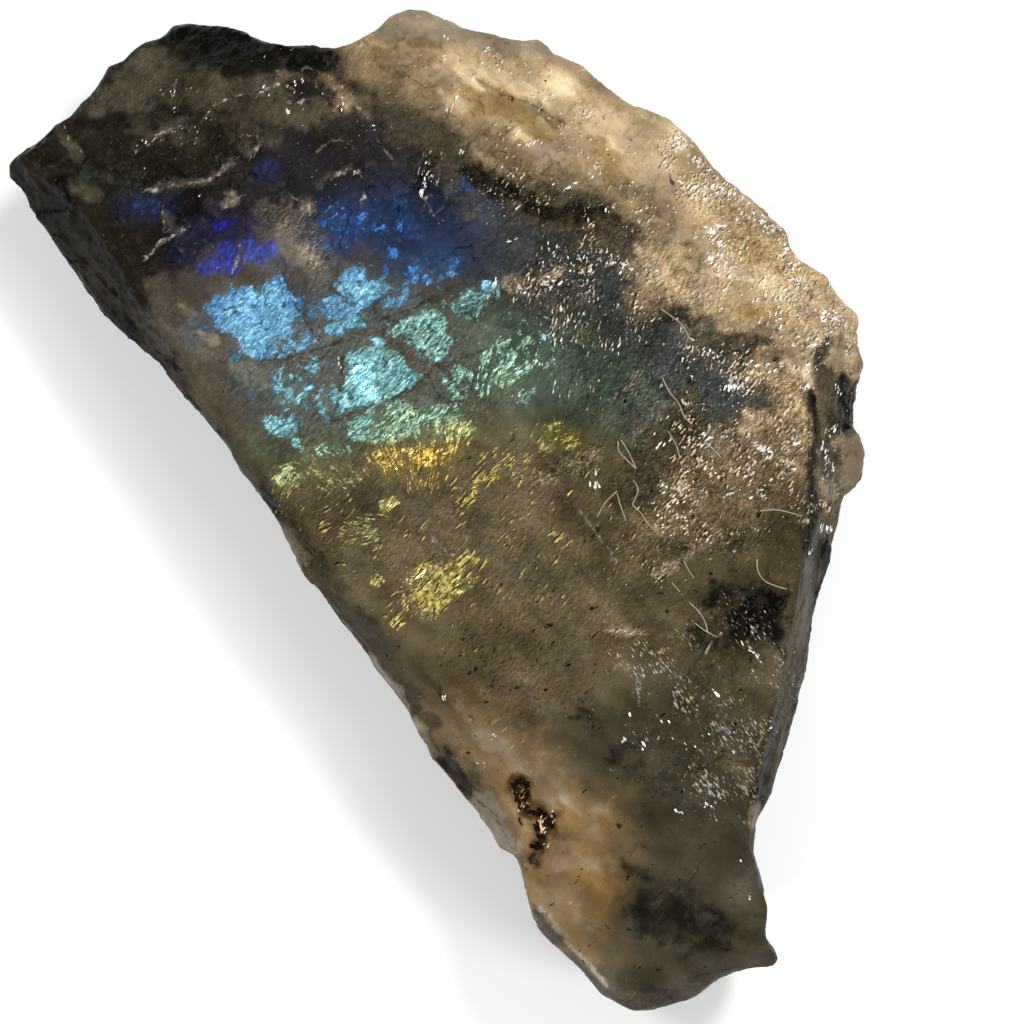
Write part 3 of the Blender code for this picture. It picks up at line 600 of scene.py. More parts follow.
# Thin lines: half width in pixels, strength, and the line. Joints are dark, veins pale.
JOINTS = [
    (1.6, 0.75, [(283, 272), (288, 292), (304, 318), (324, 349)]),
    (1.3, 0.70, [(256, 362), (290, 357), (324, 349), (346, 338)]),
    (2.2, 0.70, [(384, 318), (412, 344), (440, 368), (470, 402)]),
    (1.8, 0.75, [(336, 420), (372, 406), (404, 394), (424, 378)]),
    (1.6, 0.60, [(380, 334), (410, 312), (440, 294), (474, 276)]),
    (1.5, 0.65, [(342, 346), (342, 380), (336, 412)]),
    (1.5, 0.60, [(440, 370), (462, 360), (490, 348)]),
    (1.2, 0.60, [(264, 284), (265, 302)]),
    (1.3, 0.60, [(338, 270), (348, 298), (366, 308), (384, 298)]),
    (1.4, 0.50, [(424, 378), (452, 408), (480, 402)]),
    (1.4, 0.80, [(808, 392), (809, 450), (808, 520), (806, 548)]),
    (1.2, 0.60, [(808, 470), (812, 512)]),
    (1.3, 0.50, [(700, 258), (698, 280), (682, 290)]),
    (1.3, 0.90, [(672, 180), (675, 188), (677, 197)]),
    (1.0, 0.45, [(474, 78), (500, 94), (536, 106), (566, 124)]),
    (1.1, 0.45, [(410, 78), (426, 88), (436, 86)]),
    (1.2, 0.50, [(500, 242), (540, 232), (576, 240)]),
    (1.2, 0.60, [(434, 744), (462, 786), (496, 816), (514, 852)]),
]
VEINS = [
    (1.5, 0.62, [(147, 190), (158, 189), (170, 187), (186, 184), (200, 182), (212, 179)]),
    (1.6, 0.66, [(210, 180), (219, 174), (226, 167), (236, 160)]),
    (1.3, 0.60, [(246, 136), (257, 135), (260, 146), (254, 156)]),
    (1.1, 0.60, [(177, 84), (174, 90), (172, 98)]),
    (1.0, 0.50, [(204, 118), (212, 106), (226, 99), (246, 93)]),
    (1.1, 0.55, [(136, 152), (150, 146), (160, 140)]),
    (1.1, 0.55, [(158, 134), (170, 130), (178, 127)]),
    (1.3, 0.65, [(260, 94), (268, 88), (280, 84), (292, 88)]),
    (1.2, 0.60, [(298, 72), (308, 66), (318, 70)]),
    (1.2, 0.60, [(284, 98), (294, 104), (306, 100)]),
    (1.3, 0.65, [(341, 90), (338, 100), (336, 110)]),
    (1.1, 0.55, [(352, 96), (358, 110)]),
    (1.0, 0.45, [(66, 130), (72, 144), (80, 150)]),
    (1.0, 0.40, [(318, 152), (326, 142), (340, 140), (350, 146)]),
    (1.0, 0.45, [(296, 228), (304, 236), (308, 248)]),
    (1.0, 0.45, [(286, 196), (300, 200), (311, 204), (310, 214)]),
    (1.6, 0.70, [(184, 228), (172, 236), (160, 244), (146, 258)]),
    (1.2, 0.60, [(162, 212), (164, 226)]),
    (1.5, 0.70, [(223, 208), (230, 202), (240, 196)]),
    (1.4, 0.65, [(324, 184), (336, 175), (352, 170), (358, 174)]),
    (1.3, 0.70, [(231, 276), (237, 262), (240, 244)]),
    (1.5, 0.80, [(361, 208), (364, 197)]),
    (1.2, 0.50, [(425, 198), (434, 214)]),
    (1.2, 0.45, [(380, 142), (392, 160)]),
    (1.3, 0.75, [(417, 518), (428, 528), (436, 542), (446, 550)]),
    (1.1, 0.65, [(440, 555), (456, 555), (464, 550), (472, 556)]),
    (1.0, 0.55, [(568, 502), (578, 508), (586, 520), (606, 546), (612, 552)]),
    (1.2, 0.50, [(720, 634), (712, 642), (704, 658)]),
    (1.1, 0.45, [(606, 632), (622, 628), (640, 631)]),
    (1.3, 0.45, [(534, 906), (560, 934), (580, 962)]),
    (1.2, 0.50, [(402, 600), (416, 592), (426, 590)]),
    (2.2, 0.80, [(809, 560), (809, 590), (805, 626), (801, 646)]),
    (1.4, 0.50, [(796, 664), (790, 690), (780, 724)]),
    (1.1, 0.45, [(738, 784), (756, 796)]),
]

# Holes with something dark in them: half width in pixels, and the line.
PITS = [
    (6.5, [(516, 784), (518, 797), (523, 808)]),
    (4.5, [(522, 780), (528, 784)]),
    (4.0, [(526, 790), (526, 800)]),
    (2.4, [(520, 820), (522, 824)]),
    (3.4, [(528, 812), (536, 814)]),
    (5.5, [(538, 812), (548, 818), (549, 826)]),
    (3.6, [(536, 824), (540, 838)]),
    (2.6, [(553, 814), (555, 818)]),
    (3.0, [(532, 846), (538, 848)]),
    (2.6, [(509, 98), (512, 99)]),
    (1.6, [(398, 208), (399, 210)]),
    (1.4, [(603, 118), (604, 119)]),
    (2.0, [(617, 825), (619, 827)]),
]

# Small bright cleavage chips that stand in the surface, their pale colours painted glints: how many, spread
# and length in pixels, direction in degrees, and the line they gather along.
GLINT_CHIPS = [
    (3, 2, 4, 10, [(371, 127), (379, 131)]),
    (5, 3, 5, 75, [(344, 100), (338, 114)]),
    (4, 5, 5, 40, [(258, 94), (276, 86)]),
    (3, 6, 4, 60, [(284, 72), (312, 80)]),
    (3, 6, 4, 40, [(290, 92), (308, 94)]),
    (3, 2, 5, 75, [(290, 106), (286, 117)]),
    (3, 2, 4, 70, [(176, 88), (173, 96)]),
    (2, 2, 4, 40, [(171, 109), (174, 110)]),
    (3, 3, 4, 60, [(135, 146), (152, 138)]),
    (2, 1, 4, 45, [(199, 196), (200, 196)]),
    (3, 4, 3, 60, [(206, 116), (198, 138)]),
    (3, 2, 5, 60, [(354, 172), (357, 176)]),
    (12, 1.5, 6, 78, [(428, 168), (421, 198)]),
    (3, 1, 4, 78, [(433, 172), (430, 182)]),
    (4, 2, 5, 70, [(462, 150), (468, 158)]),
    (5, 3, 4, 70, [(446, 36), (444, 66)]),
    (3, 2, 5, 20, [(456, 98), (464, 92)]),
    (3, 3, 4, 20, [(486, 44), (494, 54)]),
    (5, 3, 5, 65, [(590, 176), (596, 160)]),
    (8, 3, 6, 50, [(520, 146), (540, 142)]),
    (6, 4, 6, 30, [(550, 184), (572, 186)]),
    (22, 5, 6, 50, [(676, 140), (694, 160), (708, 176)]),
    (34, 9, 5, 50, [(716, 186), (750, 214), (786, 246)]),
    (26, 12, 4, 40, [(690, 230), (740, 260), (800, 300)]),
    (16, 10, 4, 40, [(560, 110), (620, 150), (660, 200)]),
    (16, 4, 7, 20, [(702, 236), (722, 226)]),
    (10, 4, 6, 55, [(740, 190), (722, 186)]),
    (14, 4, 7, 50, [(770, 232), (782, 224)]),
    (12, 5, 6, 50, [(756, 212), (770, 240)]),
    (8, 3, 5, 60, [(604, 212), (616, 204)]),
    (10, 4, 5, 60, [(616, 262), (632, 268)]),
    (6, 3, 6, 60, [(708, 256), (712, 262)]),
    (6, 3, 6, 60, [(776, 306), (782, 328)]),
    (16, 5, 7, 25, [(822, 314), (846, 322)]),
    (12, 4, 7, 30, [(744, 370), (780, 366)]),
    (10, 3, 7, 50, [(802, 388), (812, 384)]),
    (8, 3, 6, 70, [(708, 350), (720, 362)]),
    (6, 2, 7, 78, [(616, 352), (622, 340)]),
    (12, 5, 6, 30, [(700, 440), (712, 436)]),
    (12, 3, 8, 20, [(756, 444), (772, 452)]),
    (8, 4, 5, 60, [(690, 460), (720, 470)]),
    (8, 5, 5, 40, [(756, 496), (776, 480)]),
    (5, 1, 8, 84, [(586, 484), (600, 486)]),
    (6, 4, 6, 60, [(656, 448), (672, 440)]),
    (6, 3, 6, 60, [(836, 386), (840, 394)]),
    (6, 2, 6, 70, [(832, 422), (838, 430)]),
    (10, 3, 6, 60, [(820, 442), (834, 470)]),
    (8, 2, 8, 84, [(820, 528), (832, 528)]),
    (3, 2, 5, 60, [(812, 548), (808, 552)]),
    (8, 2, 9, 78, [(484, 300), (500, 276)]),
    (20, 4, 6, 30, [(512, 294), (536, 288), (556, 278)]),
    (5, 2, 5, 20, [(498, 242), (524, 238)]),
    (6, 3, 5, 75, [(548, 240), (556, 258)]),
    (7, 3, 5, 78, [(564, 262), (584, 256)]),
    (10, 3, 5, -50, [(742, 644), (764, 662)]),
    (14, 14, 4, -56, [(660, 724), (700, 740), (740, 750)]),
    (6, 2, 8, -50, [(714, 690), (720, 696)]),
    (3, 1, 8, -60, [(629, 714), (633, 716)]),
    (3, 2, 7, -70, [(642, 744), (644, 748)]),
    (5, 2, 6, -60, [(674, 810), (682, 812)]),
    (6, 3, 6, -60, [(704, 806), (722, 800)]),
    (3, 2, 5, -55, [(626, 740), (624, 742)]),
    (4, 2, 6, -50, [(770, 726), (776, 734)]),
    (4, 2, 6, 70, [(443, 696), (446, 700)]),
    (4, 2, 3, 40, [(484, 748), (496, 734)]),
    (3, 3, 3, 20, [(478, 766), (494, 760)]),
    (3, 1, 4, 70, [(553, 810), (551, 816)]),
    (2, 1, 4, -60, [(740, 858), (742, 862)]),
    (2, 1, 4, -60, [(748, 896), (750, 900)]),
    (4, 2, 5, 80, [(337, 356), (342, 378)]),
]
# The same for chips coloured gold as painted glints.
GOLD_GLINT_CHIPS = [
    (14, 3, 6, 60, [(542, 818), (541, 836)]),
    (6, 4, 4, 50, [(548, 812), (552, 824)]),
    (12, 4, 5, 40, [(672, 488), (688, 482)]),
    (6, 3, 5, 70, [(742, 464), (748, 484)]),
    (8, 2, 6, 75, [(822, 504), (830, 510)]),
    (3, 1, 5, 70, [(824, 518), (828, 512)]),
    (4, 2, 4, 60, [(550, 844), (544, 848)]),
]

# The same for chips coloured copper as painted glints.
COPPER_GLINT_CHIPS = [
    (16, 2.5, 5, 55, [(522, 788), (522, 798), (526, 808)]),
    (5, 2, 4, 55, [(517, 806), (520, 812)]),
    (8, 3, 4, 40, [(706, 464), (714, 474)]),
    (6, 2, 5, 75, [(824, 506), (827, 514)]),
]

# Fibres of lint that lie on the stone, each a line through a few places.
FIBRES = [
    [(661, 309), (671, 316), (682, 325), (690, 339)],
    [(662, 377), (669, 391), (679, 404), (684, 416), (692, 424)],
    [(668, 431), (676, 445), (680, 459)],
    [(618, 441), (619, 451), (626, 459), (635, 468)],
    [(621, 440), (629, 453), (636, 469)],
    [(617, 493), (620, 504), (626, 521)],
    [(633, 480), (638, 489), (635, 499), (633, 505), (641, 513), (646, 521), (655, 531)],
    [(597, 517), (605, 503), (617, 491)],
    [(757, 559), (758, 571), (765, 581), (779, 587), (787, 589)],
    [(689, 602), (699, 612), (705, 622), (708, 633)],
    [(695, 623), (704, 630), (717, 637)],
    [(672, 583), (680, 592)],
    [(709, 445), (716, 452), (721, 458)],
    [(760, 511), (778, 510), (802, 516)],
    [(684, 561), (689, 571), (694, 578)],
]
FIBRE_RADIUS = 0.045

# The form of a chip: how far it tips, its width for its length, and how far it rises and sinks, in
# millimetres. Its length is a share of the cluster's, and its direction wanders, in degrees.
CHIP_TIP = 0.3
CHIP_WIDTH = (0.2, 0.42)
CHIP_RISE = 0.05
CHIP_SINK = 0.10
CHIP_CORNERS = 5
CHIP_LENGTH = (0.3, 1.1)
CHIP_WANDER = 12

# The glints of each field, all in millimetres: direction in degrees, how far they stretch that way and
# across, their size, and how thick they lie.
GLINTS = {
    "slanted": (50, (1.6, 0.7, 1.0), 0.27, 1.26),
    "upright": (76, (2.6, 0.65, 1.0), 0.26, 1.08),
    "sloping": (-56, (2.6, 0.65, 1.0), 0.21, 1.12),
}
SHADED_GLINTS = ("slanted", "upright")
OLIVE_STROKE = (48, (4.2, 0.60, 1.0), 0.31)  # direction, stretch and size of the olive strokes
GLINT_SHADOW = (0.13, -0.11, 0.0)  # how far from a glint its small shadow looks for it
STROKE_SHADOW = (0.11, -0.10, 0.0)
SHADOW_DEPTH = 0.60

# Colours of the small marks.
WARM_GLINT = (0.74, 0.60, 0.42)
WHITE_GLINT = (0.90, 0.88, 0.84)
OLIVE_STROKE_COLOUR = (0.235, 0.195, 0.055)
JOINT_COLOUR = (0.020, 0.020, 0.017)
VEIN_COLOUR = (0.15, 0.13, 0.105)
SPECK_COLOUR = (0.012, 0.010, 0.006)
PIT_COLOUR = (0.006, 0.004, 0.002)
WARM_TINT = (1.02, 1.00, 0.95)
COOL_TINT = (0.98, 1.0, 1.03)
# The whitish painted highlight on the brightest flash.
FLASH_HIGHLIGHT = (0.85, 0.95, 0.90)

# The chips of flash, in millimetres: their size, the way they lie in degrees, and their stretch.
FLASH_CHIP = 0.55
FLASH_DIRECTION = 48
FLASH_STRETCH = (1.4, 0.8, 1.0)

# Tiny black grains inside the stone: half width, strength, and the line.
SPECKS = [
    (60, 0.75, [(480, 640), (500, 690), (580, 700)]),
    (40, 0.60, [(560, 730), (640, 750)]),
    (60, 0.35, [(450, 100), (560, 120), (700, 260)]),
    (50, 0.15, [(560, 800), (580, 900)]),
]


# The lamps, which all point at the stone: place and size in metres, and watts.
LIGHTS = {
    "key": ((0.40, 0.50, 0.90), 0.36, 9.5),
    "left": ((-0.65, 0.35, 0.80), 0.34, 4.0),
    "front": ((-0.35, -0.65, 0.85), 0.36, 4.5),
    "right": ((0.65, -0.35, 0.80), 0.34, 3.5),
}
WORLD_LIGHT = 0.30


# ---------------------------------------------------------------- noise and cells, computed for many points


def hashed(cells, seed):
    """One number from 0 to 1 for each whole-number cell."""
    x, y, z = (cells[:, axis].astype(np.int64) for axis in range(3))
    mixed = (x * 374761393 + y * 668265263 + z * 1440662683 + seed * 974634777) & 0xFFFFFFFF
    mixed = ((mixed ^ (mixed >> 13)) * 1274126177) & 0xFFFFFFFF
    mixed = ((mixed ^ (mixed >> 15)) * 2246822519) & 0xFFFFFFFF
    return ((mixed ^ (mixed >> 16)) & 0xFFFFFF) / 0xFFFFFF


def soft_noise(points, size, seed):
    """Smooth noise from -1 to 1 with features of one size."""
    scaled = points / size
    cell = np.floor(scaled)
    part = scaled - cell
    part = part * part * (3 - 2 * part)
    total = np.zeros(len(points))
    for corner in itertools.product((0, 1), repeat=3):
        share = np.prod(np.where(corner, part, 1 - part), axis=1)
        total += share * hashed(cell + corner, seed)
    return 2 * total - 1


def cloud(points, size, seed, octaves=3):
    """Sum of ever finer soft noise, from about -1 to 1."""
    total = sum(
        soft_noise(points, size / 2**octave, seed + octave) / 2**octave for octave in range(octaves)
    )
    return total / 1.5


def soft_push(points, size, seed):
    """A soft push in space, up to about NOISE_SPREAD millimetres each way."""
    return np.stack([NOISE_SPREAD * cloud(points, size, seed + 10 * axis, 2) for axis in range(3)], axis=1)


def turned(points, degrees):
    """Points seen from axes that are turned by an angle about the upright one."""
    turn = math.radians(degrees)
    x, y = points[:, 0], points[:, 1]
    along = x * math.cos(turn) + y * math.sin(turn)
    across = y * math.cos(turn) - x * math.sin(turn)
    return np.stack([along, across, points[:, 2]], axis=1)


def drift(points, size, seed):
    """A soft push sideways, up to about 1 each way, which makes painted edges wander."""
    return np.stack([cloud(points, size, seed), cloud(points, size, seed + 10)], axis=1)


def plates(points, size, seed):
    """Small plates that each lie tipped their own way: height over the mean, in units of their size."""
    scaled = points / size
    cell = np.floor(scaled)
    nearest = np.full(len(points), np.inf)
    height = np.zeros(len(points))
    for step in itertools.product((-1, 0, 1), repeat=3):
        near = cell + step
        centre = near + np.stack([hashed(near, seed + axis) for axis in range(3)], axis=1)
        away = scaled - centre
        distance = (away**2).sum(axis=1)
        tip = np.stack([hashed(near, seed + 3 + axis) for axis in range(3)], axis=1) * 2 - 1
        closer = distance < nearest
        nearest[closer] = distance[closer]
        height[closer] = (away * tip).sum(axis=1)[closer] + 0.5 * tip[closer, 0]
    return height


def fade(value, start, end):
    """0 at start, 1 at end and smooth between them."""
    part = np.clip((value - start) / (end - start), 0, 1)
    return part * part * (3 - 2 * part)


# ---------------------------------------------------------------- places in the picture


def eye_place():
    """Where the camera is, in millimetres."""
    half = PHOTO_SIDE / 2
    across = (half - STONE_CENTRE_PX[0]) * MM_PER_PX
    up = (STONE_CENTRE_PX[1] - half) * MM_PER_PX
    return np.array([across, up, CAMERA_HEIGHT])


def picture_places(points_mm):
    """Where points of the stone are seen in the picture, in pixels."""
    half = PHOTO_SIDE / 2
    eye = eye_place()
    nearer = (CAMERA_HEIGHT - RIM_Z) / (CAMERA_HEIGHT - points_mm[:, 2]) / MM_PER_PX
    across = half + (points_mm[:, 0] - eye[0]) * nearer
    down = half - (points_mm[:, 1] - eye[1]) * nearer
    return np.stack([across, down], axis=1)


def sight_line(place):
    """The camera's place and the direction in which it sees a place of the picture, in millimetres."""
    half = PHOTO_SIDE / 2
    eye = eye_place()
    seen = (eye[0] + (place[0] - half) * MM_PER_PX, eye[1] - (place[1] - half) * MM_PER_PX, RIM_Z)
    return Vector(eye), (Vector(seen) - Vector(eye)).normalized()


def nearest_on_line(places, line):
    """Distance to a line through several places, and which side of it each place is on."""
    nearest = np.full(len(places), np.inf)
    side = np.ones(len(places))
    for start, end in zip(line, line[1:]):
        start, run = np.array(start, float), np.subtract(end, start)
        away = places - start
        share = np.clip((away @ run) / max(run @ run, 1e-9), 0, 1)
        off = away - share[:, None] * run
        distance = np.hypot(off[:, 0], off[:, 1])
        closer = distance < nearest
        nearest[closer] = distance[closer]
        side[closer] = np.where(away[closer, 0] * run[1] > away[closer, 1] * run[0], 1, -1)
    return nearest, side


def outline_depth(places, outline):
    """Distance inside an outline, and minus the distance outside it."""
    closed = [*outline, outline[0]]
    inside = np.zeros(len(places), bool)
    for (x0, y0), (x1, y1) in zip(closed, closed[1:]):
        if y0 == y1:
            continue
        crosses = (places[:, 1] > y0) != (places[:, 1] > y1)
        at = x0 + (places[:, 1] - y0) * (x1 - x0) / (y1 - y0)
        inside ^= crosses & (places[:, 0] < at)
    distance = nearest_on_line(places, closed)[0]
    return np.where(inside, distance, -distance)


def stroke_cover(places, strokes):
    """How thick soft strokes lie at each place, from 0 to 1."""
    cover = np.zeros(len(places))
    for half_width, strength, line in strokes:
        reach = nearest_on_line(places, line)[0] / half_width
        cover = np.maximum(cover, strength * (1 - fade(reach, 0.30, 1.35)))
    return cover


def thin_lines(places, lines):
    """For each place the signed distance to the nearest thin line, in half widths, and its strength."""
    ratio = np.full(len(places), 12.0)
    strength = np.zeros(len(places))
    for half_width, line_strength, line in lines:
        distance, side = nearest_on_line(places, line)
        reach = distance / half_width
        closer = reach < np.abs(ratio)
        ratio[closer] = (reach * side)[closer]
        strength[closer] = line_strength * (1 - fade(distance[closer], 4, 8))
    return ratio, strength


# ---------------------------------------------------------------- the skin's form


def coordinates(mesh):
    flat = np.empty(len(mesh.vertices) * 3, np.float32)
    mesh.vertices.foreach_get("co", flat)
    return flat.reshape(-1, 3).astype(float) / MM


def normals(mesh):
    flat = np.empty(len(mesh.vertices) * 3, np.float32)
    mesh.vertex_normals.foreach_get("vector", flat)
    return flat.reshape(-1, 3).astype(float)


def with_modifier(mesh, kind, **settings):
    """The mesh as one modifier leaves it."""
    holder = bpy.data.objects.new("holder", mesh)
    bpy.context.scene.collection.objects.link(holder)
    modifier = holder.modifiers.new(kind, kind)
    for name, value in settings.items():
        setattr(modifier, name, value)
    graph = bpy.context.evaluated_depsgraph_get()
    result = bpy.data.meshes.new_from_object(holder.evaluated_get(graph))
    bpy.data.objects.remove(holder)
    return result


def roughness_of_break(places, facing_up):
    """How rough the stone broke at each place: sugary along the pale rim, smooth on the tail."""
    sugary = stroke_cover(places, [SUGARY_RIM])
    smooth = stroke_cover(places, [SMOOTH_TAIL])
    return np.clip(0.55 + 0.55 * sugary - 0.45 * smooth, 0.1, 1.3) * (0.35 + 0.65 * facing_up) + 0.15


def break_relief(points, places, facing_up):
    """Height of the broken surface over the smoothed solid, in millimetres."""
    lengthened = turned(points, BLOCK_DIRECTION) / np.array([BLOCK_LENGTH, 1.0, 1.0])
    rough = roughness_of_break(places, facing_up)
    relief = BLOCKS[0] * plates(lengthened, BLOCKS[1], seed=11) * np.minimum(1, 0.4 + rough)
    relief += STEPS[0] * plates(lengthened, STEPS[1], seed=23) * rough
    relief += FLAKES[0] * plates(points, FLAKES[1], seed=37) * rough
    relief += SWELLS[0] * cloud(points, SWELLS[1], seed=51)
    return relief


def hollow(places, lines):
    """1 on the lines and 0 past their width."""
    depth = np.zeros(len(places))
    for half_width, line in lines:
        depth = np.maximum(depth, 1 - fade(nearest_on_line(places, line)[0] / half_width, 0.3, 1.4))
    return depth


def stone_skin(node):
    """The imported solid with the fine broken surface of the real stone."""
    low, high = (np.array(corner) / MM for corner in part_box(NODE))
    mesh = with_modifier(node.data.copy(), "REMESH", mode="VOXEL", voxel_size=SKIN_VOXEL * MM)
    mesh = with_modifier(mesh, "SMOOTH", factor=0.5, iterations=6)
    points, outward = coordinates(mesh), normals(mesh)
    places = picture_places(points)
    facing_up = fade(outward[:, 2], 0.2, 0.75)
    relief = break_relief(points, places, facing_up)
    relief -= JOINT_DEPTH * hollow(places, [(JOINT_HALF_WIDTH, line) for _, _, line in JOINTS]) * facing_up
    relief -= PIT_DEPTH * hollow(places, PITS) * facing_up
    above_base = fade(points[:, 2], 0.05, 0.8)
    points += outward * (relief * above_base)[:, None]
    points = np.clip(points, low + BOX_MARGIN, high - BOX_MARGIN)
    points[:, 2] = np.where(above_base == 0, np.maximum(points[:, 2], 0), points[:, 2])
    mesh.vertices.foreach_set("co", (points * MM).astype(np.float32).ravel())
    mesh.update()
    mesh = with_modifier(mesh, "TRIANGULATE")
    mesh = with_modifier(mesh, "DECIMATE", ratio=min(1.0, SKIN_TRIANGLES / len(mesh.polygons)))
    mesh.shade_smooth()
    mesh.set_sharp_from_angle(angle=math.radians(40))
    return mesh


# ---------------------------------------------------------------- the skin's colours


def write_value(mesh, name, values):
    layer = mesh.attributes.new(name, "FLOAT", "POINT")
    layer.data.foreach_set("value", np.asarray(values, np.float32))


def write_colour(mesh, name, colours):
    layer = mesh.attributes.new(name, "FLOAT_COLOR", "POINT")
    rgba = np.ones((len(colours), 4), np.float32)
    rgba[:, :3] = colours
    layer.data.foreach_set("color", rgba.ravel())


def write_vector(mesh, name, vectors):
    layer = mesh.attributes.new(name, "FLOAT_VECTOR", "POINT")
    layer.data.foreach_set("vector", np.asarray(vectors, np.float32).ravel())


def fan_places(places):
    """Coordinates that run out from FAN_CENTRE_PX and round it, in millimetres at FAN_RADIUS."""
    away = places - np.array(FAN_CENTRE_PX)
    outwards = np.hypot(away[:, 0], away[:, 1]) * MM_PER_PX
    around = np.arctan2(-away[:, 1], away[:, 0]) * FAN_RADIUS
    return np.stack([outwards, around, np.zeros(len(places))], axis=1)


def laid_over(colours, name, cover):
    cover = cover[:, None]
    return colours * (1 - cover) + np.array(BODY_COLOURS[name]) * cover


def over_the_base(points):
    """0 near the ground, where the stone has its hidden colour, and 1 further up."""
    return fade(points[:, 2] + 0.8 * cloud(points, 3.0, seed=251), 1.0, 4.0)


def patch_colours(points, places, outward):
    """The broad colours of the stone: patches with wandering edges, and the hidden sides."""
    wander = drift(points, 4.0, seed=61) + 0.8 * drift(points, 1.2, seed=141)
    under_the_rim = np.clip(RIM_Z - points[:, 2], 0, None)[:, None]
    reach = 14 + 3.0 * under_the_rim  # pixels
    colours = np.tile(BODY_COLOURS[BODY], (len(points), 1))
    for name, strength, softness, outline in PATCHES:
        depth = outline_depth(places + reach * wander, outline)
        colours = laid_over(colours, name, strength * fade(depth, -softness, softness))
    raised = over_the_base(points)
    # partly painted shade: faces turned down or aside, and the stone's foot, take the hidden colours
    hidden_share = 1 - raised * fade(outward[:, 2] + 0.15 * cloud(points, 3.0, seed=171), -0.35, 0.10)
    cloudy = 0.4 + raised * (fade(cloud(points, 7.0, seed=161), -0.3, 0.3) - 0.4)
    cloudy = cloudy[:, None]
    first, second = (np.array(BODY_COLOURS[name]) for name in HIDDEN)
    hidden = first * (1 - cloudy) + second * cloudy
    return colours * (1 - hidden_share[:, None]) + hidden * hidden_share[:, None]


def stroke_colours(points, places, colours):
    """The colours of the strokes that lie over the patches, and how thick they lie."""
    wander = drift(points, 3.0, seed=191) + 0.8 * drift(points, 0.9, seed=241)
    cover = np.zeros(len(points))
    for name, half_width, strength, line in STROKES:
        here = stroke_cover(places + min(14, 0.9 * half_width) * wander, [(half_width, strength, line)])
        colours = laid_over(colours, name, np.clip(2 * here, 0, 1))
        cover = np.maximum(cover * (1 - 0.5 * here), here)
    return colours, cover


def flash_fields(points, places):
    """How much of each place flashes, its colour, its brightness, and how needle-like it is."""
    drifted = places + 4 * drift(points, 1.6, seed=81)
    cover, power, needles = (np.zeros(len(points)) for _ in range(3))
    scale = np.interp(places[:, 1] + 0.25 * places[:, 0], *zip(*SCALE_DOWN_FACE))
    for place_on_scale, brightness, share, softness, needle_share, outline in FLASH.values():
        here = share * fade(outline_depth(drifted, outline), -softness, 0.7 * softness)
        weight = np.clip(1.5 * here / share, 0, 1)
        scale = scale * (1 - weight) + place_on_scale * weight
        power = power * (1 - weight) + brightness * weight
        needles = needles * (1 - weight) + needle_share * weight
        cover = np.maximum(cover * (1 - 0.5 * weight), here)
    return cover, scale, power / LIGHT_LEVEL * 1.05, needles


def glow_colours(points, places):
    drifted = places + 5 * drift(points, 1.6, seed=181)
    glow = np.zeros((len(points), 3))
    for colour, half_width, strength, line in GLOW:
        cover = stroke_cover(drifted, [(half_width, strength, line)])[:, None]
        glow = glow * (1 - cover) + np.array(colour) * cover
    return glow / LIGHT_LEVEL


def write_noise(mesh, points):
    """The broad noises of the material, which are cheaper on the skin than in the shader."""
    sway, wiggle = soft_push(points, 2.6, seed=261), soft_push(points, 1.1, seed=301)
    write_vector(mesh, "sway", sway)
    write_vector(mesh, "wiggle", wiggle)
    write_value(mesh, "soft", NOISE_SPREAD * cloud(points, 3.4, seed=341, octaves=2))

    # painted light and shade of sheets that lean down to the right and each tip their own way
    sheets = turned(points + 1.8 * sway, -28) / np.array([3.7, 1.5, 1.7])
    write_value(mesh, "plates", plates(sheets, 1.0, seed=331))

    # veils, lit from above: how far they rise towards the light
    veiled = turned(points + 1.2 * sway, -32) / np.array([1.7, 1.0, 1.0])
    lit_side = veiled + np.array([0.03, 0.14, 0.0])
    rise = cloud(veiled, 1.6, seed=361, octaves=2) - cloud(lit_side, 1.6, seed=361, octaves=2)
    write_value(mesh, "veil_light", NOISE_SPREAD * rise)

    # where marks and glints gather: in clusters, and in chains along the middle level of a noise
    cluster = fade(NOISE_SPREAD * cloud(points, 2.0, seed=371), -0.16, 0.16)
    level = NOISE_SPREAD * cloud(points + 0.8 * wiggle, 3.0, seed=381, octaves=2)
    chain = fade(np.abs(level), 0.05, 0.0)
    write_value(mesh, "gathered", 0.35 + 0.65 * cluster + 0.45 * chain)


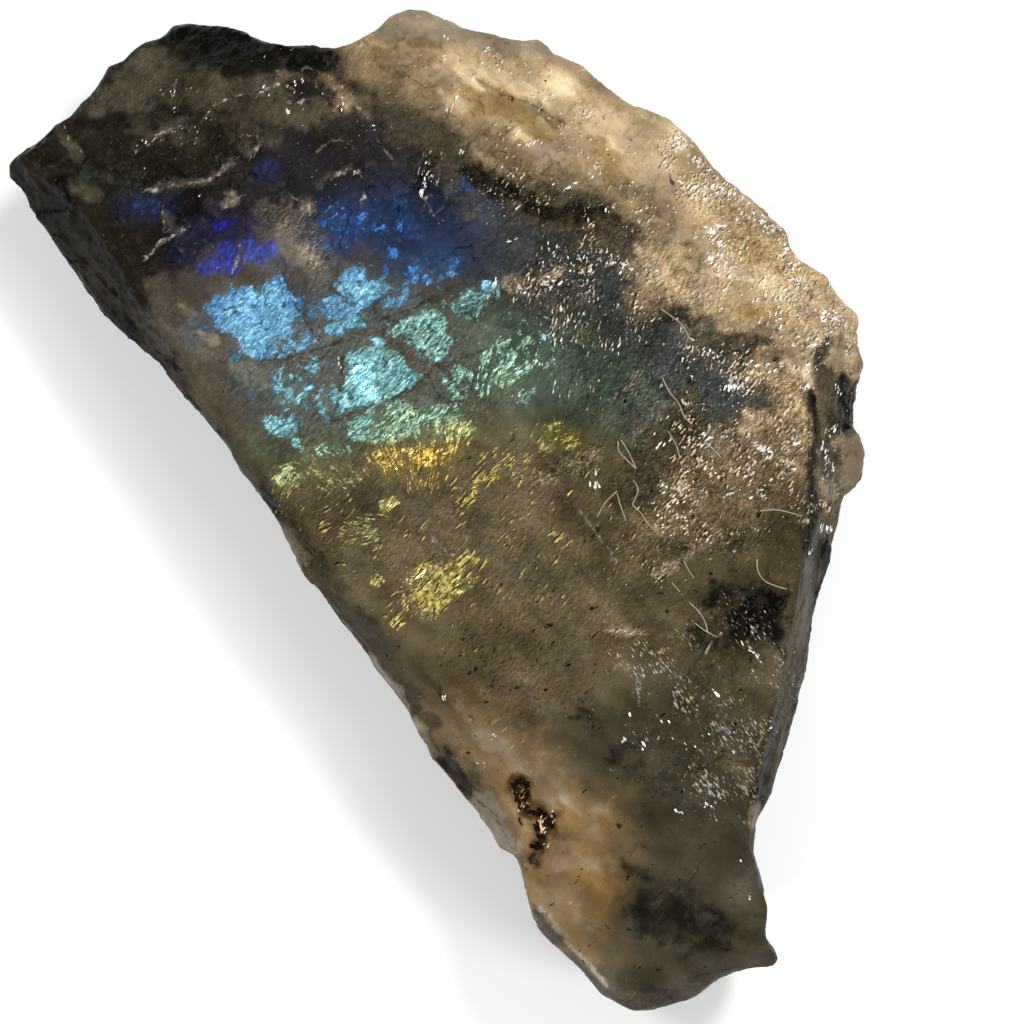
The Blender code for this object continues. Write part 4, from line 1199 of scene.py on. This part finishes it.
def colour_skin(mesh):
    points, outward = coordinates(mesh), normals(mesh)
    places = picture_places(points)
    facing_up = fade(outward[:, 2], 0.2, 0.6)
    glow = glow_colours(points, places) * facing_up[:, None]
    patches = patch_colours(points, places, outward)
    strokes, cover = stroke_colours(points, places, patches)
    dimmed = 1 / LIGHT_LEVEL / (1 + GLOW_HIDES * glow.max(axis=1))[:, None]
    write_colour(mesh, "patches", patches * dimmed)
    write_colour(mesh, "strokes", strokes * dimmed)
    raised = over_the_base(points)
    write_value(mesh, "stroke_cover", cover * raised * fade(outward[:, 2], -0.05, 0.30))
    write_colour(mesh, "glow", glow)
    write_value(mesh, "gloss", SIDE_GLOSS + (FACE_GLOSS - SIDE_GLOSS) * facing_up)
    cover, scale, power, needles = flash_fields(points, places)
    write_value(mesh, "flash_cover", cover * facing_up)
    write_value(mesh, "flash_scale", scale)
    write_value(mesh, "flash_power", power)
    write_value(mesh, "needles", needles)
    write_vector(mesh, "fan", fan_places(places))
    write_noise(mesh, points)
    drifted = places + 10 * drift(points, 3.0, seed=101)
    write_value(mesh, "grain", np.maximum(SMOOTH_GRAIN, stroke_cover(drifted, GRAIN) * raised))
    fields = {
        "slanted": SLANTED,
        "upright": UPRIGHT,
        "sloping": SLOPING,
        "olive_strokes": OLIVE_STROKES,
        "specks": SPECKS,
    }
    for name, strokes in fields.items():
        write_value(mesh, name, stroke_cover(drifted, strokes) * facing_up)
    write_value(mesh, "facets", stroke_cover(drifted, FACETS) * raised)
    wobbled = places + 2.0 * drift(points, 1.0, seed=121)
    for name, lines in (("joint", JOINTS), ("vein", VEINS)):
        ratio, strength = thin_lines(wobbled, lines)
        write_value(mesh, name, ratio)
        write_value(mesh, name + "_strength", strength * facing_up)
    write_value(mesh, "pits", hollow(wobbled, PITS) * facing_up)


# ---------------------------------------------------------------- the material


class Graph:
    """Short ways to add shader nodes. A value is a number, a colour or another node's socket."""

    def __init__(self, material):
        material.use_nodes = True
        self.tree = material.node_tree
        self.shader = self.tree.nodes["Principled BSDF"]

    def put(self, value, socket):
        if isinstance(value, bpy.types.NodeSocket):
            self.tree.links.new(value, socket)
        else:
            socket.default_value = value

    def add(self, kind, values=(), **settings):
        node = self.tree.nodes.new(kind)
        for name, value in settings.items():
            setattr(node, name, value)
        for key, value in dict(values).items():
            if value is not None:
                self.put(value, node.inputs[key])
        return node

    def math(self, operation, first, second=None):
        return self.add("ShaderNodeMath", {0: first, 1: second}, operation=operation).outputs[0]

    def times(self, first, second):
        return self.math("MULTIPLY", first, second)

    def plus(self, first, second):
        return self.math("ADD", first, second)

    def minus(self, first, second):
        return self.math("SUBTRACT", first, second)

    def vector(self, operation, first, second=None, scale=None):
        values = {0: first, 1: second, "Scale": scale}
        return self.add("ShaderNodeVectorMath", values, operation=operation).outputs[0]

    def fade(self, value, start, end, low=0.0, high=1.0):
        node = self.add(
            "ShaderNodeMapRange",
            {"Value": value, "From Min": start, "From Max": end, "To Min": low, "To Max": high},
            interpolation_type="SMOOTHSTEP",
        )
        return node.outputs["Result"]

    def mix(self, share, first, second, blend="MIX"):
        """The first colour where the share is 0 and the second where it is 1."""
        node = self.add("ShaderNodeMix", data_type="RGBA", blend_type=blend, clamp_factor=True)
        self.put(share, node.inputs[0])
        self.put(self.colour(first), node.inputs[6])
        self.put(self.colour(second), node.inputs[7])
        return node.outputs[2]

    def between(self, share, first, second):
        """The first number where the share is 0 and the second where it is 1."""
        return self.add("ShaderNodeMix", {0: share, 2: first, 3: second}, data_type="FLOAT").outputs[0]

    def colour(self, value):
        return (*value, 1.0) if isinstance(value, tuple) and len(value) == 3 else value

    def field(self, name, kind="Fac"):
        return self.add("ShaderNodeAttribute", attribute_name=name).outputs[kind]

    def stretched(self, at, angle, lengths):
        """Coordinates turned by an angle, in degrees, and then stretched along their axes."""
        turned = self.add(
            "ShaderNodeVectorRotate", {"Vector": at, "Angle": math.radians(-angle)}, rotation_type="Z_AXIS"
        )
        return self.vector("MULTIPLY", turned.outputs[0], tuple(1 / length for length in lengths))

    def noise(self, at, size, detail=3.0, roughness=0.55, output="Fac"):
        values = {"Vector": at, "Scale": 1 / size, "Detail": detail, "Roughness": roughness}
        return self.add("ShaderNodeTexNoise", values).outputs[output]

    def bent(self, at, push, amount):
        """Coordinates pushed about by one of the soft pushes that the skin carries."""
        return self.vector("ADD", at, self.vector("SCALE", self.field(push, "Vector"), scale=amount))

    def cells(self, at, size):
        """How far each place is from the middle of its cell, in cells, and a chance colour for each cell."""
        node = self.add("ShaderNodeTexVoronoi", {"Vector": at, "Scale": 1 / size}, feature="F1")
        return node.outputs["Distance"], node.outputs["Color"]

    def parts(self, colour):
        return self.add("ShaderNodeSeparateColor", {0: colour}).outputs

    def ramp(self, value, stops):
        node = self.add("ShaderNodeValToRGB", {0: value})
        elements = node.color_ramp.elements
        while len(elements) < len(stops):
            elements.new(0.5)
        for element, (position, colour) in zip(elements, stops):
            element.position = position
            element.color = (*colour, 1.0)
        return node.outputs[0]

    def minus_half(self, colour):
        return self.vector("SUBTRACT", colour, (0.5, 0.5, 0.5))

    def varied(self, noise, amount):
        """A factor about 1 that follows a noise: its natural logarithm spans about half the amount."""
        return self.math("EXPONENT", self.times(self.minus(noise, 0.5), amount))

    def flecks(self, at, angle, lengths, size, density):
        """Small uneven marks that run one way, from dull at their rims to bright in the middle."""
        marks = self.noise(self.stretched(at, angle, lengths), size, 1.5, 0.5)
        level = self.minus(0.80, self.times(density, 0.20))
        return self.fade(self.minus(marks, level), 0.0, 0.07)

    def thin_line(self, name, wear):
        """1 on the thin lines of a field and 0 off them, with worn stretches."""
        reach = self.math("ABSOLUTE", self.field(name))
        cover = self.fade(self.plus(reach, self.times(self.minus(wear, 0.5), 11.0)), 1.2, 0.0)
        return self.times(cover, self.field(name + "_strength"))


def crumpled(g, at, lengths, size, reach):
    """Light and shade of crumpled foil: how far its noise rises towards the light, about 0."""
    here = g.noise(g.stretched(at, 0, lengths), size, 3.0, 0.6)
    beyond = g.noise(g.stretched(g.vector("ADD", at, reach), 0, lengths), size, 3.0, 0.6)
    return g.minus(here, beyond)


def flash_layer(g, at, ground, wear, grit, laid_down, laid, chips):
    """The ground with the flash over it: chips or needles that show where the cover is thick enough."""
    fields = ("flash_cover", "flash_power", "needles", "flash_scale")
    cover, power, needles, scale = (g.field(name) for name in fields)
    off_middle, chance = chips
    rank, tone, hue = g.parts(chance)
    gap = g.fade(off_middle, 0.78, 0.58)
    open_gap = g.fade(wear, 0.46, 0.60)
    foil = crumpled(g, laid_down, (1.5, 0.7, 1.0), 0.36, (0.03, 0.06, 0.0))
    broad = g.fade(g.noise(laid_down, 1.3, 3.0, 0.6), 0.30, 0.70)
    push = g.vector("SCALE", g.field("sway", "Vector"), scale=2.4)
    fan = g.vector("ADD", g.field("fan", "Vector"), push)
    blade = g.noise(g.stretched(fan, 0, (3.0, 0.75, 1.0)), 0.46, 3.0, 0.7)
    gain = g.plus(g.fade(scale, 0.42, 0.66, 0.8, 1.8), g.fade(scale, 0.82, 0.87, 0.0, 0.9))
    swept = g.stretched(g.bent(at, "sway", 2.2), 38, (2.6, 0.75, 1.0))
    golden = g.fade(scale, 0.80, 0.86)
    brush = g.between(golden, g.noise(laid, 0.42, 3.0, 0.75), g.noise(swept, 0.44, 3.0, 0.7))

    chip_rank = g.plus(g.times(rank, 0.40), g.times(broad, 0.60))
    chip_rank = g.plus(chip_rank, g.times(g.minus(brush, 0.5), g.times(gain, 0.6)))
    shows = g.minus(cover, g.between(needles, chip_rank, g.fade(blade, 0.32, 0.68)))
    shows = g.fade(shows, -0.06, 0.10)
    chip_light = g.times(g.plus(g.times(foil, 5.0), g.times(g.minus(brush, 0.5), 4.0)), gain)
    chip_light = g.times(g.fade(tone, 0.0, 1.0, 0.70, 1.15), g.math("EXPONENT", chip_light))
    chip_light = g.times(chip_light, g.between(g.times(open_gap, 0.6), 1.0, gap))
    blade_light = g.plus(g.times(foil, 7.0), g.times(g.minus(0.45, blade), 8.0))
    light = g.between(needles, chip_light, g.math("EXPONENT", blade_light))
    light = g.times(light, g.varied(grit, 1.6))
    soft_hue = g.add("ShaderNodeSeparateXYZ", {0: g.field("wiggle", "Vector")}).outputs[0]

    place = g.plus(scale, g.times(soft_hue, 0.10))
    place = g.plus(place, g.times(g.minus(hue, 0.5), 0.035))
    flash = g.vector("SCALE", g.ramp(place, FLASH_SCALE), scale=g.times(light, power))
    # painted highlight: the brightest flash turns whitish
    flash_highlight = g.times(g.fade(light, 1.4, 2.6, 0.0, 0.45), g.minus(1.0, g.times(needles, 0.7)))
    flash = g.mix(flash_highlight, flash, g.vector("SCALE", FLASH_HIGHLIGHT, scale=power))
    under = g.times(g.times(g.fade(cover, 0.0, 0.9), 0.30), power)
    return g.mix(shows, g.mix(under, ground, flash), flash)


def glint_layer(g, at, ground, gathered, soft):
    """The ground with glints and olive strokes over it, most with a small shadow beside them."""
    beside = g.vector("ADD", at, GLINT_SHADOW)
    glint, shadow = 0.0, 0.0
    for name, (angle, lengths, size, thickness) in GLINTS.items():
        density = g.times(g.times(g.field(name), gathered), thickness)
        glint = g.math("MAXIMUM", g.flecks(at, angle, lengths, size, density), glint)
        if name in SHADED_GLINTS:
            shadow = g.math("MAXIMUM", g.flecks(beside, angle, lengths, size, density), shadow)
    stroke_at = g.bent(at, "sway", 1.5)
    density = g.times(g.field("olive_strokes"), gathered)
    strokes = g.flecks(stroke_at, *OLIVE_STROKE, density)
    beside = g.vector("ADD", stroke_at, STROKE_SHADOW)
    shadow = g.math("MAXIMUM", shadow, g.flecks(beside, *OLIVE_STROKE, density))
    colour = g.vector("SCALE", ground, scale=g.minus(1.0, g.times(shadow, SHADOW_DEPTH)))
    uneven = g.noise(at, 0.45, 3.0, 0.6)
    stroke_light = g.fade(uneven, 0.36, 0.66, 0.35, 2.2)
    colour = g.mix(strokes, colour, g.vector("SCALE", OLIVE_STROKE_COLOUR, scale=stroke_light))
    shine = g.mix(g.fade(soft, -0.12, 0.12), WARM_GLINT, WHITE_GLINT)
    lit = g.fade(uneven, 0.36, 0.66, 0.10, 1.0)
    dim = g.minus(1.0, g.times(g.field("sloping"), 0.52))
    return g.mix(g.times(g.times(glint, lit), dim), colour, shine)


def stone_material():
    material = bpy.data.materials.new("labradorite")
    g = Graph(material)
    texture = g.add("ShaderNodeTexCoord")
    at = g.vector("SCALE", texture.outputs["Object"], scale=1 / MM)

    # the body: waxy, with soft clouds and veils, and crisp grain where the surface broke that way
    facets = g.field("facets")
    soft = g.field("soft")
    scribbled = g.bent(at, "wiggle", 0.8)
    leaning = g.noise(g.stretched(at, 54, (1.5, 0.8, 1.0)), 0.42, 3.0, 0.6)
    grit = g.noise(at, 0.16, 2.0, 0.6)
    _, crumbs = g.cells(g.stretched(g.bent(at, "wiggle", 0.4), 62, (1.7, 0.7, 1.0)), 0.26)
    crumb = g.parts(crumbs)[0]
    # painted light and shade: the veils and sheets are lighter where they rise towards the light
    smooth = g.plus(g.times(soft, 1.6), g.times(g.field("veil_light"), 3.0))
    smooth = g.plus(smooth, g.times(g.field("plates"), 0.22))
    leant = g.stretched(scribbled, 50, (1.0, 1.0, 1.0))
    # painted light and shade: the crumpled noise lights one side of each grain edge and shades the other
    edges = crumpled(g, leant, (1.2, 0.9, 1.0), 0.28, (0.02, 0.05, 0.0))
    grain = g.plus(g.times(g.minus(leaning, 0.5), 2.0), g.times(g.minus(grit, 0.5), 1.6))
    grain = g.plus(g.plus(grain, g.times(edges, 8.0)), g.times(g.minus(crumb, 0.5), 1.0))
    grain = g.times(grain, g.field("grain"))
    tint = g.mix(g.fade(soft, -0.2, 0.2), WARM_TINT, COOL_TINT)
    rags = g.minus(g.noise(scribbled, 1.1, 3.0, 0.65), 0.5)
    torn = g.plus(g.field("stroke_cover"), g.times(rags, 1.7))
    colour = g.mix(g.fade(torn, 0.0, 0.95), g.field("patches", "Color"), g.field("strokes", "Color"))
    colour = g.mix(1.0, colour, tint, "MULTIPLY")
    colour = g.vector("SCALE", colour, scale=g.math("EXPONENT", g.plus(smooth, grain)))

    # small pale and dark marks, which gather in clusters and chains
    gathered = g.field("gathered")
    elsewhere = g.vector("ADD", scribbled, (31.0, 17.0, 5.0))
    pale_marks = g.flecks(scribbled, 42, (2.6, 0.6, 1.0), 0.55, g.times(gathered, 0.55))
    dark_marks = g.flecks(elsewhere, -24, (1.5, 0.8, 1.0), 0.50, g.times(gathered, 0.50))
    marks = g.minus(g.times(pale_marks, 0.60), g.times(dark_marks, 0.9))
    colour = g.vector("SCALE", colour, scale=g.math("EXPONENT", marks))

    # soft light under the surface, then the flash
    glow = g.vector("SCALE", g.field("glow", "Color"), scale=g.varied(leaning, 5.0))
    colour = g.vector("ADD", colour, glow)
    wear = g.noise(at, 0.7, 3.0, 0.7)
    laid_down = g.stretched(g.bent(at, "wiggle", 0.7), FLASH_DIRECTION, (1.0, 1.0, 1.0))
    laid = g.stretched(laid_down, 0, FLASH_STRETCH)
    chips = g.cells(laid, FLASH_CHIP)
    colour = flash_layer(g, at, colour, wear, grit, laid_down, laid, chips)

    # joints, healed cracks, dark grains and pits
    colour = g.mix(g.thin_line("joint", wear), colour, JOINT_COLOUR)
    vein_colour = g.vector("SCALE", VEIN_COLOUR, scale=g.varied(leaning, 7.0))
    colour = g.mix(g.thin_line("vein", wear), colour, vein_colour)
    specks = g.flecks(at, 20, (1.2, 0.9, 1.0), 0.62, g.field("specks"))
    colour = g.mix(specks, colour, SPECK_COLOUR)
    ragged = g.times(g.minus(g.noise(at, 0.36, 2.0, 0.7), 0.5), 4.0)
    pit = g.fade(g.times(g.field("pits"), g.plus(ragged, 1.0)), 0.42, 0.66)
    colour = g.mix(pit, colour, PIT_COLOUR)
    colour = glint_layer(g, at, colour, gathered, soft)
    g.put(colour, g.shader.inputs["Base Color"])

    # gloss: small facets that each face their own way, over fine grain
    tip = g.vector("ADD", g.minus_half(chips[1]), g.vector("SCALE", g.minus_half(crumbs), scale=0.8))
    normal = g.add("ShaderNodeNewGeometry").outputs["Normal"]
    normal = g.vector("ADD", normal, g.vector("SCALE", tip, scale=g.times(facets, 0.8)))
    normal = g.vector("NORMALIZE", normal)
    bump = {"Height": g.times(leaning, 0.30), "Strength": 0.30, "Distance": 0.5 * MM, "Normal": normal}
    g.put(g.add("ShaderNodeBump", bump).outputs[0], g.shader.inputs["Normal"])
    g.put(g.fade(soft, -0.2, 0.2, 0.22, 0.40), g.shader.inputs["Roughness"])
    g.put(g.field("gloss"), g.shader.inputs["Specular IOR Level"])
    return material


# ---------------------------------------------------------------- chips and lint on the stone


def surface_finder(mesh):
    """A function that gives the point of the stone seen at a place of the picture, and its normal."""
    tree = BVHTree.FromPolygons(
        [vertex.co / MM for vertex in mesh.vertices], [face.vertices for face in mesh.polygons]
    )

    def find(place):
        eye, towards = sight_line(place)
        point, normal, _, _ = tree.ray_cast(eye, towards)
        return point, normal

    return find


def new_piece(name, points, faces, material):
    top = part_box(NODE)[1][2]
    mesh = bpy.data.meshes.new(name)
    mesh.from_pydata([(x * MM, y * MM, min(z * MM, top)) for x, y, z in points], [], faces)
    mesh.materials.append(material)
    piece = bpy.data.objects.new(name, mesh)
    bpy.context.scene.collection.objects.link(piece)
    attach(piece, "root")
    return piece


def chip(centre, normal, direction, length, draw):
    """The points of one chip: a thin five-sided plate half sunk in the surface."""
    normal = (normal + Vector([draw.uniform(-CHIP_TIP, CHIP_TIP) for _ in range(3)])).normalized()
    along = (direction - normal * direction.dot(normal)).normalized()
    across = normal.cross(along)
    width = length * draw.uniform(*CHIP_WIDTH)
    rim = []
    for corner in range(CHIP_CORNERS):
        angle = math.tau * (corner + draw.uniform(-0.25, 0.25)) / CHIP_CORNERS
        rim.append(along * (math.cos(angle) * length / 2) + across * (math.sin(angle) * width / 2))
    top = [centre + point + normal * CHIP_RISE for point in rim]
    bottom = [centre + point - normal * CHIP_SINK for point in rim]
    return top + bottom


def chip_faces(first):
    top = [first + corner for corner in range(CHIP_CORNERS)]
    bottom = [corner + CHIP_CORNERS for corner in top]
    sides = [(top[k - 1], bottom[k - 1], bottom[k], top[k]) for k in range(CHIP_CORNERS)]
    return [tuple(top), tuple(reversed(bottom)), *sides]


def cleavage_chips(name, clusters, find, material, seed):
    """Small chips along lines of the face, as one piece, coloured pale as painted glints."""
    draw = random.Random(seed)
    points, faces = [], []
    for count, spread, length, angle, line in clusters:
        for _ in range(count):
            where = draw.uniform(0, len(line) - 1)
            step = min(int(where), len(line) - 2)
            start, end = Vector(line[step]), Vector(line[step + 1])
            place = start.lerp(end, where - step)
            place += Vector((draw.gauss(0, spread / 1.5), draw.gauss(0, spread / 1.5)))
            centre, normal = find(place)
            if centre is None or normal.z < 0.2:
                continue
            turn = math.radians(angle + draw.gauss(0, CHIP_WANDER))
            direction = Vector((math.cos(turn), math.sin(turn), 0))
            size = length * MM_PER_PX * draw.uniform(*CHIP_LENGTH)
            faces += chip_faces(len(points))
            points += chip(centre, normal, direction, size, draw)
    return new_piece(name, points, faces, material)


def smooth_line(places, steps=6):
    """Places along a smooth curve through the given ones."""
    padded = [places[0], *places, places[-1]]
    curve = []
    for a, b, c, d in zip(padded, padded[1:], padded[2:], padded[3:]):
        a, b, c, d = (Vector(place) for place in (a, b, c, d))
        slope, bend, twist = c - a, 2 * a - 5 * b + 4 * c - d, 3 * b - a - 3 * c + d
        for step in range(steps):
            t = step / steps
            curve.append(0.5 * (2 * b + slope * t + bend * t**2 + twist * t**3))
    curve.append(Vector(places[-1]))
    return curve


def fibres(find, material):
    """Lint on the stone: thin four-sided tubes that follow its surface, as one piece."""
    points, faces = [], []
    for fibre in FIBRES:
        curve = [find(place)[0] + Vector((0, 0, 1.3 * FIBRE_RADIUS)) for place in smooth_line(fibre)]
        first = len(points)
        for k, centre in enumerate(curve):
            along = (curve[min(k + 1, len(curve) - 1)] - curve[max(k - 1, 0)]).normalized()
            across = along.cross(Vector((0, 0, 1))).normalized() * FIBRE_RADIUS
            over = across.cross(along).normalized() * FIBRE_RADIUS
            points += [centre + across, centre + over, centre - across, centre - over]
        for k in range(len(curve) - 1):
            ring = first + 4 * k
            faces += [(ring + s, ring + (s + 1) % 4, ring + 4 + (s + 1) % 4, ring + 4 + s) for s in range(4)]
        faces.append(tuple(first + s for s in (3, 2, 1, 0)))
        faces.append(tuple(len(points) - 4 + s for s in range(4)))
    return new_piece("lint", points, faces, material)


def bright_material(name, colour, dark_share, roughness):
    """A pale material that varies from piece to piece: the dark share is how far it darkens."""
    material = bpy.data.materials.new(name)
    g = Graph(material)
    texture = g.add("ShaderNodeTexCoord")
    at = g.vector("SCALE", texture.outputs["Object"], scale=1 / MM)
    shade = g.fade(g.noise(at, 0.6, 3.0), 0.35, 0.62, 1.0 - dark_share, 1.0)
    g.put(g.vector("SCALE", colour, scale=shade), g.shader.inputs["Base Color"])
    g.shader.inputs["Roughness"].default_value = roughness
    return material


# ---------------------------------------------------------------- the stage


def floor():
    reach = 1.6  # metres each way
    mesh = bpy.data.meshes.new("floor")
    corners = [(-reach, -reach, 0), (reach, -reach, 0), (reach, reach, 0), (-reach, reach, 0)]
    mesh.from_pydata(corners, [], [(0, 1, 2, 3)])
    material = bpy.data.materials.new("floor")
    material.use_nodes = True
    shader = material.node_tree.nodes["Principled BSDF"]
    shader.inputs["Base Color"].default_value = (0.93, 0.93, 0.93, 1)
    shader.inputs["Roughness"].default_value = 0.9
    shader.inputs["Specular IOR Level"].default_value = 0.1
    mesh.materials.append(material)
    plane = bpy.data.objects.new("floor", mesh)
    bpy.context.scene.collection.objects.link(plane)


def area_light(name, place, size, watts):
    light = bpy.data.lights.new(name, "AREA")
    light.shape = "DISK"
    light.size = size
    light.energy = watts
    lamp = bpy.data.objects.new(name, light)
    lamp.location = place
    lamp.rotation_euler = (-Vector(place)).to_track_quat("-Z", "Y").to_euler()
    bpy.context.scene.collection.objects.link(lamp)


def lights():
    for name, (place, size, watts) in LIGHTS.items():
        area_light(name, place, size, watts)
    world = bpy.data.worlds.new("studio")
    world.use_nodes = True
    world.node_tree.nodes["Background"].inputs["Color"].default_value = (1, 1, 1, 1)
    world.node_tree.nodes["Background"].inputs["Strength"].default_value = WORLD_LIGHT
    bpy.context.scene.world = world


def camera():
    lens = bpy.data.cameras.new("camera")
    lens.sensor_width = SENSOR
    lens.lens = SENSOR * (CAMERA_HEIGHT - RIM_Z) / (PHOTO_SIDE * MM_PER_PX)
    lens.clip_start, lens.clip_end = 0.01, 20.0
    eye = bpy.data.objects.new("camera", lens)
    eye.location = Vector(eye_place()) * MM
    bpy.context.scene.collection.objects.link(eye)
    bpy.context.scene.camera = eye


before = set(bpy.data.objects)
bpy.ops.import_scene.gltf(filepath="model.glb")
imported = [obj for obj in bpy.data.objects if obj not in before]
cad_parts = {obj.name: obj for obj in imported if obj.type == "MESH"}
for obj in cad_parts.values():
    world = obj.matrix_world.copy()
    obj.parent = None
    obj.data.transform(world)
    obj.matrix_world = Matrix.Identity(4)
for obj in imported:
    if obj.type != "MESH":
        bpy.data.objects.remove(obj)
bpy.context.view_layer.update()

camera()
floor()
lights()
bpy.context.scene.view_settings.view_transform = "Standard"

skin = stone_skin(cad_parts[NODE])
colour_skin(skin)
skin.materials.clear()
skin.materials.append(stone_material())
stone = bpy.data.objects.new("labradorite", skin)
bpy.context.scene.collection.objects.link(stone)
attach(stone, "root")
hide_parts(NODE)

find = surface_finder(skin)
# painted glints: the chips take pale, gold and copper colours that stand for sparkles of light
bright = bright_material("white_glint_chips", (0.92, 0.90, 0.86), dark_share=0.55, roughness=0.2)
gold = bright_material("gold_glint_chips", (0.90, 0.62, 0.34), dark_share=0.70, roughness=0.2)
copper = bright_material("copper_glint_chips", (0.72, 0.30, 0.10), dark_share=0.80, roughness=0.2)
cleavage_chips("chips", GLINT_CHIPS, find, bright, seed=7)
cleavage_chips("gold_glint_chips", GOLD_GLINT_CHIPS, find, gold, seed=8)
cleavage_chips("copper_glint_chips", COPPER_GLINT_CHIPS, find, copper, seed=9)
fibres(find, bright_material("lint", (0.38, 0.34, 0.25), dark_share=0.35, roughness=0.8))
